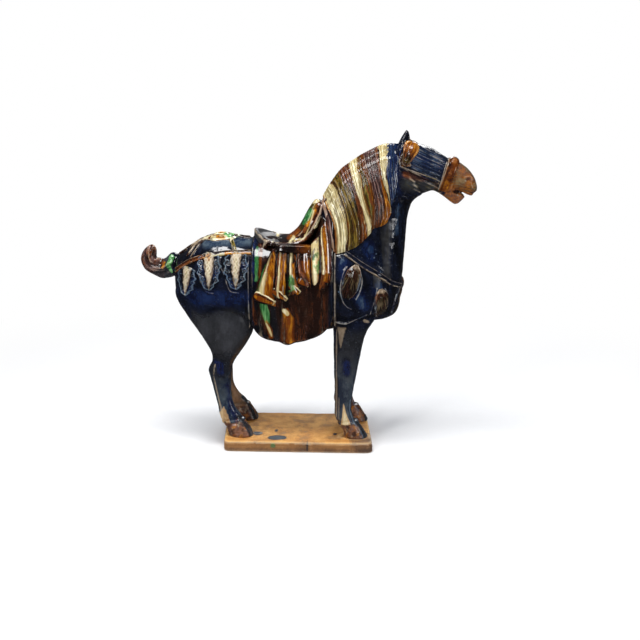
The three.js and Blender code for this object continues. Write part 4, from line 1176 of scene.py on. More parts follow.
def makeDrapes():
    blend = {"stretch": 0.22, "pool": 7, "breakTo": "cream", "breakMost": 0.6, "breakAt": (0.18, 0.5), "gloss": 0.06,
             "lines": 0.6, "linePitch": 2.5, "lineBump": 0.15, "thickAt": (0.42, 0.78)}
    piece = joined("gathered_drapes", [drapeBody(drapes["under"], side) for side in (near, far)])
    fold, t = getField(piece, "fold"), getField(piece, "t")

    def stripe(middle, half, low=0.0, high=1.0):
        # inside a stripe whose middle and half width count folds, from low to high down the fold
        return np.minimum((half - np.abs(fold - middle)) * 4, np.minimum(t - low, high - t) * 90)

    # runs of amber, brown, green and cream over each fold: wet stripes, pale where the crests tore through
    finish(piece, "gatheredDrapeGlaze", "brown", [
        ("amber", np.maximum.reduce([stripe(2.2, 0.9, 0.05), stripe(6.7, 0.7, 0.1), stripe(8.2, 0.7, 0.1),
                                     stripe(10.9, 0.6, 0.3), stripe(14.6, 0.8, 0.3, 0.9)]), 8),
        ("bistre", np.maximum.reduce([stripe(4, 0.7), stripe(9, 0.6), stripe(12.2, 0.6), stripe(-0.1, 0.8, 0, 0.6),
                                      stripe(8, 16, -0.1, 0.05)]), 6),
        ("mauve", np.maximum(stripe(13, 0.4, 0.05), stripe(5.1, 0.3, 0.3)), 6, 0.4, 2),
        ("cream", np.maximum.reduce([stripe(1, lerp(0.05, 0.6, t**1.5), 0.08), stripe(6.05, 0.24, 0.05),
                                     stripe(10.1, 0.36, 0.02, 0.6)]), 5),
        ("bistre", (0.16 - t) * 20, 16, 0.7, 3),
        ("green", np.maximum(stripe(10.1, 0.8, 0.55, 0.9), stripe(0.4, 0.3, 0.3, 0.95) - 1), 8, 0.8),
    ], blend)
    piece = joined("drape_toes", [toeBody(*toe, side) for toe in drapes["toes"] for side in (near, far)])
    down, toe = getField(piece, "down"), getField(piece, "toe")
    # turned clay tips where the runs gathered: glossy amber between a cream lip and a dark edge
    finish(piece, "drapeToeGlaze", "brown", [
        ("amber", (0.35 - np.abs(down - 0.1)) * 14, 9),
        ("bistre", (down - 0.55) * 12, 5),
        ("cream", (-0.68 - down) * 12, 5),
        ("cream", (toe - 0.8) * 14, 4, 0.6),
    ], blend)
    piece = joined("seat_band", [toeBody(*drapes["band"], side) for side in (near, far)])
    # a clay band in near-black brown glaze: a dark line under the seat
    finish(piece, "seatBandGlaze", "bistre", [
        ("brown", (getField(piece, "toe") - 0.1) * 30, 16, 0.7, 3),
        ("amber", (getField(piece, "toe") - 0.45) * 20, 22, 0.35, 3),
    ], {**blend, "breakMost": 0.1, "thickAt": (0.3, 0.7)})
    piece = joined("pommel_drapes", [drapeBody(drapes["pommel"], side) for side in (near, far)])
    fold, t = getField(piece, "fold"), getField(piece, "t")
    # folded clay under the same run glaze as the drapes: brown and glossy, pale along its ridges
    finish(piece, "pommelDrapeGlaze", "brown", [
        ("amber", stripe(1, 1.3, 0.3), 8, 0.7),
        ("cream", stripe(1, 0.8, 0.02), 8),
        ("green", np.maximum(stripe(0.9, 0.5, 0.3, 0.6), stripe(1.8, 0.4, 0.5, 0.8)), 9, 0.8),
        ("cobalt", stripe(0.7, 0.3, 0.2, 0.45), 12, 0.7),
        ("bistre", np.maximum(stripe(2.7, 0.5), stripe(5.6, 0.4)), 5),
        ("cream", stripe(4, 0.32, 0, 0.75), 5),
        ("amber", stripe(4.9, 0.6, 0.04, 0.85), 7),
        ("mauve", stripe(6.6, 0.5, 0, 0.7), 5),
    ], blend)


makeDrapes()


# Saddle: stations of the middle (x, z) and of the edge (x, z, y), from cantle to pommel

saddle = {"edge": 8, "rows": [
    (-90, 396, -66, 386, 48), (-87, 418, -58, 400, 54), (-82, 421, -52, 404, 55), (-74, 412, -46, 402, 55),
    (-52, 405, -34, 401, 56), (-28, 409, -14, 401, 55), (-8, 424, 6, 403, 52), (4, 440, 22, 416, 46),
    (15, 458, 33, 434, 39), (24, 472, 41, 452, 30), (30, 478, 45, 468, 20), (38, 477, 50, 470, 14),
    (48, 462, 56, 458, 10)]}


def makeSaddle():
    stations, columns = ((170, 120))
    s = np.linspace(0, 1, stations)
    x, z, edgeX, edgeZ, edgeY = through(saddle["rows"], s).T[:, :, None]
    share = np.linspace(-1, 1, columns)[None]
    fall = share**2
    grid = np.stack([x + (edgeX - x) * fall, edgeY * share, z + (edgeZ - z) * fall], -1)
    along, across = np.gradient(grid, axis=0), np.gradient(grid, axis=1)
    outs = np.cross(along, across)
    outs /= np.linalg.norm(outs, axis=2)[..., None] + 1e-9
    outs *= np.sign(outs[stations // 2, columns // 2, 2])
    s = s[:, None] * np.ones(share.shape)
    wide = np.abs(share) * np.ones(s.shape)
    # rolled edges along the sides, over the cantle and round the pommel, and an inner lip
    roll = 1.5 * bell(wide - 0.93, 0.05) + 1.6 * bell(s - 0.10, 0.022) * (wide < 0.97)
    lip = 1.3 * bell(wide - (0.70 - 0.25 * ramp(0.5, 0.85, s)), 0.045)
    lip *= ramp(0.42, 0.52, s) * (1 - ramp(0.84, 0.9, s))
    height = roll + lip - 1.2 * bell(wide - 0.83, 0.06) * ramp(0.4, 0.5, s) + 0.25 * ripple(grid, 20, 6)
    height -= 2.2 * bell(wide, 0.5) * ramp(0.2, 0.3, s) * (1 - ramp(0.5, 0.7, s))
    outer = grid + outs * height[..., None]
    inner = grid - outs * saddle["edge"]
    inner[..., 1] *= 0.985
    points, faces = shell(outer, inner)
    ss, shares, ridge = twice(s, share * np.ones(s.shape), height)
    piece = joined("saddle", [(points, faces, {"ridge": ridge * 0.22})])
    mm = 55 * np.abs(shares)
    # dark glaze that wore off the rolled edges, drier on the seat: a dull seat in a glossy pale rim; the seat's
    # slate grey is a painted reflection
    finish(piece, "saddleGlaze", "bistre", [
        # slate grey over the seat: painted reflection
        ("slate", np.minimum((0.36 - ss) * 200, 44 - mm), 8, 0.9, 1.2, 0.5),
        ("brown", [[(4, 418, 8), (22, 440, 8), (36, 466, 9)], [(-6, 408, 5), (10, 412, 6)]], 8),
        ("amber", [[(-20, 412, 6), (-8, 420, 7), (-2, 424, 5)], [(16, 432, 3), (30, 460, 3)]], 8),
        ("olive", [[(2, 428, 4), (10, 438, 6)], [(24, 462, 5), (29, 474, 4)]], 8, 0.8),
        ("green", [[(8, 436, 3), (14, 446, 6), (22, 458, 4)]], 9, 0.9),
        ("cream", [[(-16, 404, 2), (-10, 410, 3)], [(24, 474, 3), (36, 479, 4)], [(33, 430, 2.6), (42, 448, 2)],
                   [(-8, 405, 0.8), (10, 410, 1), (20, 430, 1), (28, 460, 1)]], 5),
        ("cream", [[(-70, 424, 1.2), (-60, 416, 1.8), (-48, 405, 1.6)]], 4),
        ("mauve", [[(44, 450, 3), (46, 475, 4), (40, 480, 3)]], 4),
    ], {"breakMost": 0.65, "breakAt": (0.16, 0.34), "stretch": 0.6, "gloss": 0.07})


makeSaddle()


# Harness

harness = {
    "width": 11, "height": 4,
    "crupper": [(-86, 383), (-106, 383), (-132, 383), (-152, 381), (-172, 377), (-192, 371), (-210, 363),
                (-226, 352), (-236, 344)],
    "spine": (-96, -236, 20),  # x at both ends, and width
    # angle round the chest from straight ahead, and height
    "breast": [(118, 384), (104, 376), (88, 365), (72, 354), (56, 341), (42, 330), (28, 322), (14, 317), (0, 315)],
}


def rolled(share):
    # two rolled edges and a hollow between them
    return harness["height"] * (0.55 + 0.48 * bell(np.abs(share) - 0.66, 0.22)) * (1 - np.abs(share) ** 10)


def broad(share):
    return 2.6 * (0.7 + 0.4 * bell(np.abs(share) - 0.7, 0.2)) * (1 - np.abs(share) ** 8)


def cordOf(height):
    return lambda share: height * np.sqrt(np.maximum(0, 1 - share**2))


def makeStraps():
    parts = []
    t = np.linspace(0, 1, 40)
    cord = cordOf(2.2)
    for side in (near, far):
        x, z = pathThrough(harness["crupper"], 90, 100).T
        parts.append(strap(flankWay(side)(x, z), harness["width"], rolled))
        # from the croup flower down to the crupper, a strap and two cords
        for x, change, angle, wider, width, profile in (
                (-131, 13, 16, 25, harness["width"] * 0.8, rolled), (-186, -24, 14, 34, 5, cord),
                (-196, -18, 8, 26, 5, cord)):
            parts.append(strap(backWay(x + change * t, side * (angle + wider * t)), width, profile))
    path = pathThrough(harness["breast"], 90, 100)
    path = np.vstack([path * [-1, 1], path[::-1][1:]])
    parts.append(strap(chestWay(path[:, 0], path[:, 1]), harness["width"], rolled))
    start, end, width = harness["spine"]
    x = np.linspace(start, end, 110)
    parts.append(strap(backWay(x, 0 * x), width, broad))
    piece = joined("harness_straps", parts)
    p = pointsOf(piece)
    share = getField(piece, "share")
    chest = ramp(60, 66, p[:, 0])
    # clay straps glazed with the body and wiped along their edges: dark bands between two buff lines
    finish(piece, "harnessGlaze", "bistre", [
        ("midnight", chest * 10 - 5, 4),
        ("amber", [[(-136, 381, 4.5), (-92, 380, 4.5)], [(-178, 373, 3), (-205, 364, 4)]], 5),
        ("brown", [[(-185, 374, 6), (-232, 346, 6)]], 8),
        # slate grey along the top of the crupper's middle: painted highlight
        ("slate", [[(-165, 386, 4), (-140, 389, 4)]], 4),
        ("buff", np.minimum(np.abs(share) * 10 - 9.2 + 1.8 * (share > 0), 62 * chest - 1), 9, 0.7),
        # the second cream run, along the crupper's middle: painted highlight
        ("cream", [[(-131, 408, 3), (-122, 396, 3)], [(-163, 377, 2.5), (-140, 381, 2)]], 6),
        ("buff", [[(-186, 410, 3), (-208, 376, 3)], [(-196, 408, 3), (-210, 382, 3)]], 3),
        ("olive", [[(-126, 402, 3), (-119, 392, 4)]], 5),
    ], {"breakMost": 0.3, "breakAt": (0.25, 0.6), "stretch": 1})


makeStraps()


# Leaf pendants along the crupper: middle (x, z), width, height and tilt

pendants = {"height": 3, "spots": [(-213, 327, 38, 54, 0.12), (-168, 347, 47, 66, 0), (-117, 349, 47, 66, 0)],
            "curls": [(0.64, -0.52, 0.2), (0.68, -0.06, 0.2), (0.5, 0.36, 0.17), (0.26, 0.68, 0.13)]}


def leafWidth(b):
    return np.interp(b, [-1.05, -0.95, -0.7, -0.3, 0.1, 0.45, 0.75, 0.95, 1.02],
                     [0.30, 0.72, 0.94, 0.98, 0.90, 0.74, 0.50, 0.24, 0.0])


def tongueWidth(b):
    return np.interp(b, [-1, -0.6, 0, 0.45, 0.72, 0.8], [0.40, 0.36, 0.27, 0.17, 0.08, 0])


def pendantRelief(a, b):
    a = a + 0.05 * np.sin(b * 9 + 1) + 0.03 * np.sin(b * 23)
    scallop = 0.05 * np.cos(b * 15)
    inside = (leafWidth(b) + scallop - np.abs(a)) * 0.7
    height = (pendants["height"] - 1.2) * ramp(-0.02, 0.06, inside) + 1.1 * bell(inside - 0.08, 0.05)
    tongue = tongueWidth(b) - np.abs(a)
    height += 1.5 * ramp(-0.02, 0.10, tongue) + 0.3 * np.sin(a * 24) * np.sin(b * 21) * ramp(0, 0.1, tongue)
    for ca, cb, size in pendants["curls"]:
        for hand in (-1, 1):
            da, db = (a * hand - ca), (b - cb) * 1.35
            radius, turn = np.hypot(da, db), np.arctan2(db, da)
            curl = 1.0 * np.sin(radius * 38 - turn) * ramp(size * 1.35, size * 0.8, radius)
            height += curl * ramp(-0.02, 0.06, inside)
    return height - 1.6 * ramp(0.03, -0.03, inside)


def makePendants():
    parts = [patch(flankWay(side), (x, z), (width, height), tilt, pendantRelief)
             for x, z, width, height, tilt in pendants["spots"] for side in (near, far)]
    piece = joined("leaf_pendants", parts)
    a, b = getField(piece, "across"), getField(piece, "down")
    # moulded leaves under cobalt: blue pools in the curls, mist over their crests, a bare buff tongue
    finish(piece, "pendantGlaze", "midnight", [
        ("cobalt", ripple(pointsOf(piece), 40, 12) * 6, 8, 0.7),
        ("mist", (0.1 - np.abs(np.abs(a) - leafWidth(b) * 0.7)) * 16 - 3, 14, 0.3),
        ("buff", np.minimum(tongueWidth(b) - np.abs(a), (b + 0.98) * 0.5) * 20 + 0.6, 7, 1, 1.2, 0.3),
        ("cream", np.minimum(tongueWidth(b) * 0.6 - np.abs(a), 0.3 - b) * 20 - 1, 12, 0.4, 1.2, 0.3),
        ("amber", [[(-170, 378, 4), (-168, 370, 2)]], 8, 0.8),
        ("midnight", (b - 0.1) * 4 - 2.5, 16, 0.4),
    ], {"breakTo": "mist", "breakMost": 0.32, "breakAt": (0.3, 0.9), "tear": 3, "stretch": 1, "pool": 8,
        "lines": 0.2})


makePendants()


# Tassels hanging from the breast strap

tassels = {
    "height": 7, "strands": 13,
    "widths": ([-1, -0.86, -0.6, -0.1, 0.4, 0.75, 1], [0.28, 0.5, 0.78, 0.96, 0.9, 0.7, 0.42]),
    # place, size and tilt; on the flank by x, on the chest by the angle from straight ahead
    "flank": ((101, 332), (36, 62), 0.3), "chest": ((54, 288), (30, 58), 0.15),
    "front": ((0, 282), (58, 62), 0), "knot": ((0, 317), (30, 26), 0)}


def tasselRelief(a, b, height=tassels["height"], strands=tassels["strands"]):
    width = np.interp(b, *tassels["widths"])
    inside = width - np.abs(a)
    turn = np.arctan2(a, b + 1.25)
    comb = np.abs(np.sin(turn * strands * 2.2 + 0.3 * np.sin(b * 5)))
    dome = np.sqrt(np.clip(1 - (a / (width + 0.06)) ** 2, 0, 1)) * np.clip(1 - np.abs(b) ** 5, 0, 1)
    h = height * dome * (0.72 + 0.28 * bell(b + 0.1, 0.6)) + 0.7 * comb * ramp(0, 0.2, inside) * ramp(-0.86, -0.6, b)
    h += 0.9 * bell(inside - 0.06, 0.05)
    h += 2.0 * bell(np.hypot(a * 1.2, b + 0.8), 0.2)
    return np.where(inside > -0.02, h, -1.5) - 1.2 * ramp(0.12, -0.02, inside)


def frontRelief(a, b):
    # the tassel seen from ahead is flatter and broader
    return tasselRelief(a, b, 4, 15)


def knotRelief(a, b):
    return 6 * np.sqrt(np.clip(1 - a**2 - b**2, 0, 1)) + 0.8 * np.sin(a * 7 + b * 4) - 1


def makeTassels():
    parts = []
    for side in (near, far):
        def besideChest(angle, z):
            return chestWay(side * np.asarray(angle), z)
        parts.append(patch(flankWay(side), *tassels["flank"], tasselRelief, step=0.6, fineSteps=5))
        parts.append(patch(besideChest, *tassels["chest"], tasselRelief, step=0.6, fineSteps=5))
    parts.append(patch(chestWay, *tassels["front"], frontRelief, step=0.7, fineSteps=5))
    parts.append(patch(chestWay, *tassels["knot"], knotRelief, step=0.5))
    piece = joined("chest_tassels", parts)
    p = pointsOf(piece)
    ahead, down = ramp(166, 174, p[:, 0]), getField(piece, "down")
    across = getField(piece, "across")
    rim = 0.12 - np.abs(np.abs(across) - np.interp(down, *tassels["widths"]) + 0.05)
    setField(piece, "line", np.arctan2(across, down + 1.25) * 22)
    # fanned threads under brown glaze: fine pale lines from the knot to a dark rim
    finish(piece, "tasselGlaze", "bistre", [
        ("brown", (0.3 - down) * 6 - 2, 22, 0.45),
        ("olive", (0.6 - np.abs(down + 0.1)) * 6 - 3.6, 24, 0.7, 2),
        ("buff", (0.5 - np.abs(down + 0.1)) * 6 - 5 + ahead * 3.4, 22, 0.32, 2),
        ("midnight", np.maximum(np.minimum(ahead * 8 - 4, (np.abs(across) - 0.5) * 20), (np.abs(across) - 0.8) * 20),
         6),
        ("haze", rim * 14 - 2.2, 8, 0.5),
        ("buff", (-0.8 - down) * 20 - 40 * ahead, 6, 0.8),
    ], {"breakMost": 0.05, "breakAt": (0.08, 0.3), "tear": 0.9, "stretch": 0.3, "mottle": 0.5, "lines": 1.3,
        "linePitch": 1.4, "thickAt": (0.34, 0.72)})


makeTassels()


# Flower on the croup

flower = {"place": (-152, 0), "size": (76, 44), "height": 5, "petals": 7}


def flowerRelief(a, b):
    radius, turn = np.hypot(a, b), np.arctan2(b, a)
    rim = 0.88 + 0.06 * np.cos(turn * flower["petals"] + 0.5 * np.sin(turn * 2)) + 0.03 * np.sin(turn * 3)
    petal = 0.5 + 0.5 * np.cos(turn * flower["petals"])
    h = flower["height"] * (1 - ramp(0.55, 1.0, radius / rim) * 0.5) - 1.4 * (1 - petal) * ramp(0.3, 0.6, radius)
    h += 2.0 * bell(radius - 0.26, 0.08) - 1.6 * bell(radius, 0.14) + 1.0 * bell(radius / rim - 0.9, 0.07)
    return np.where(radius < rim + 0.03, h, -1.5)


def makeFlower():
    piece = joined("croup_flower", [patch(backWay, flower["place"], flower["size"], 0, flowerRelief, step=0.55)])
    # petals splashed cream and green over brown, glossy and broken along their edges
    finish(piece, "croupFlowerGlaze", "brown", [
        ("cream", [[(-192, 404, 4), (-172, 412, 4), (-142, 417, 4)], [(-168, 406, 3), (-140, 408, 4)]], 12),
        ("green", [[(-140, 416, 7), (-120, 410, 8)]], 8),
        ("amber", [[(-158, 408, 2.5), (-142, 406, 2.5)], [(-166, 416, 3)]], 8),
        ("bistre", [[(-128, 404, 4), (-122, 410, 3)], [(-180, 400, 3), (-168, 402, 3)]], 6),
    ], {"stretch": 1, "breakTo": "cream", "breakMost": 0.45, "breakAt": (0.2, 0.6), "pool": 6})


makeFlower()


# Head harness: noseband with its knob, and thin cords along the cheek and before the noseband

bridle = {
    "noseband": [(279, 554, 261, 498, 22.5, 0), (283, 558, 264, 494, 26, 0), (296, 558, 271, 489, 26, 0),
                 (301, 552, 275, 488, 22.5, 0)],
    "cords": [[(189, 545), (205, 539), (222, 533), (240, 527), (258, 520)],
              [(277, 552), (273, 540), (269, 524), (265, 510), (262, 500)],
              [(196, 584), (190, 572), (188, 560), (189, 548)]],
    "width": 2.0, "height": 1.0, "voxel": 0.8, "stud": (292, 557)}


def makeBridle():
    forms["noseband"] = {"power": 2.6, "rows": bridle["noseband"]}
    band = joined("noseband", [(*loft("noseband", far, 26, 120), {})])
    remesh(band, bridle["voxel"])
    p = relaxed(pointsOf(band), edgesOf(band), 10)
    setPoints(band, p)
    x, y, z = p.T
    along = pastBand(x, z)
    rear = -17.1 - (z - 522) * 0.075
    height = 1.0 * bell(along - rear - 2, 1.6) + 0.9 * bell(along + 0.5, 1.8) + 0.3 * ripple(p, 9, 2)
    studX, studZ = bridle["stud"]
    height += 3.2 * bell(np.hypot((x - studX) / 1.2, z - studZ), 5.5) * bell(np.abs(y) - 9, 6)
    setPoints(band, p + normalsOf(band) * height[:, None])
    markRidges(band, 20)
    setField(band, "line", along)
    setField(band, "lined", np.full(len(p), 0.6))
    # a clay band under amber and russet: shiny, mottled and dark along its edges
    finish(band, "nosebandGlaze", "russet", [
        ("brown", ripple(p, 26, 8) * 4 - 1.5, 12, 0.7),
        ("amber", ripple(p, 18, 9) * 5 - 0.5, 14, 0.7),
        ("bistre", 1.6 - np.abs(along - rear - 5.5), 5, 0.6),
        ("buff", rear + 2.4 - along, 3, 0.8),
    ], {"stretch": 1, "breakMost": 0.12, "ridgeShare": 0.3, "thickAt": (0.3, 0.8), "lines": 0.7, "linePitch": 2})
    cords = []
    for side in (near, far):
        for path in bridle["cords"]:
            x, z = pathThrough(path, 50, 70).T
            cords.append(strap(flankWay(side)(x, z), bridle["width"], cordOf(bridle["height"])))
    piece = joined("bridle_cords", cords)
    # thin rolls of clay that the glaze ran off: buff lines, blue beside the cheek
    finish(piece, "bridleGlaze", "cobalt", [
        ("buff", [[(189, 545, 3), (262, 519, 2)], [(196, 584, 3), (189, 548, 3)], [(276, 552, 2), (262, 500, 2)]],
         14, 0.6),
        ("olive", [[(240, 527, 4), (258, 520, 4)]], 8, 0.6),
    ], {"stretch": 1, "breakMost": 0.6, "breakAt": (0.1, 0.4)})


makeBridle()


# Ribbon of clay along the mane's hind edge, down to the breast strap

ribbon = {"path": [(44, 484), (50, 465), (57, 440), (62, 415), (65, 398), (66, 384)], "width": 10, "height": 5.5}


def makeRibbon():
    x, z = pathThrough(ribbon["path"], 60, 90).T
    piece = joined("mane_ribbon", [strap(flankWay(side)(x, z), ribbon["width"], cordOf(ribbon["height"]))
                                   for side in (near, far)])
    # a round band of clay under thin glaze: a dull mauve edge behind the dark strands
    finish(piece, "ribbonGlaze", "mauve", [
        ("brown", [[(44, 480, 4), (50, 462, 2)], [(66, 400, 3), (66, 384, 5)]], 7),
    ], {"stretch": 0.4, "breakMost": 0.4})


makeRibbon()


# Body glaze

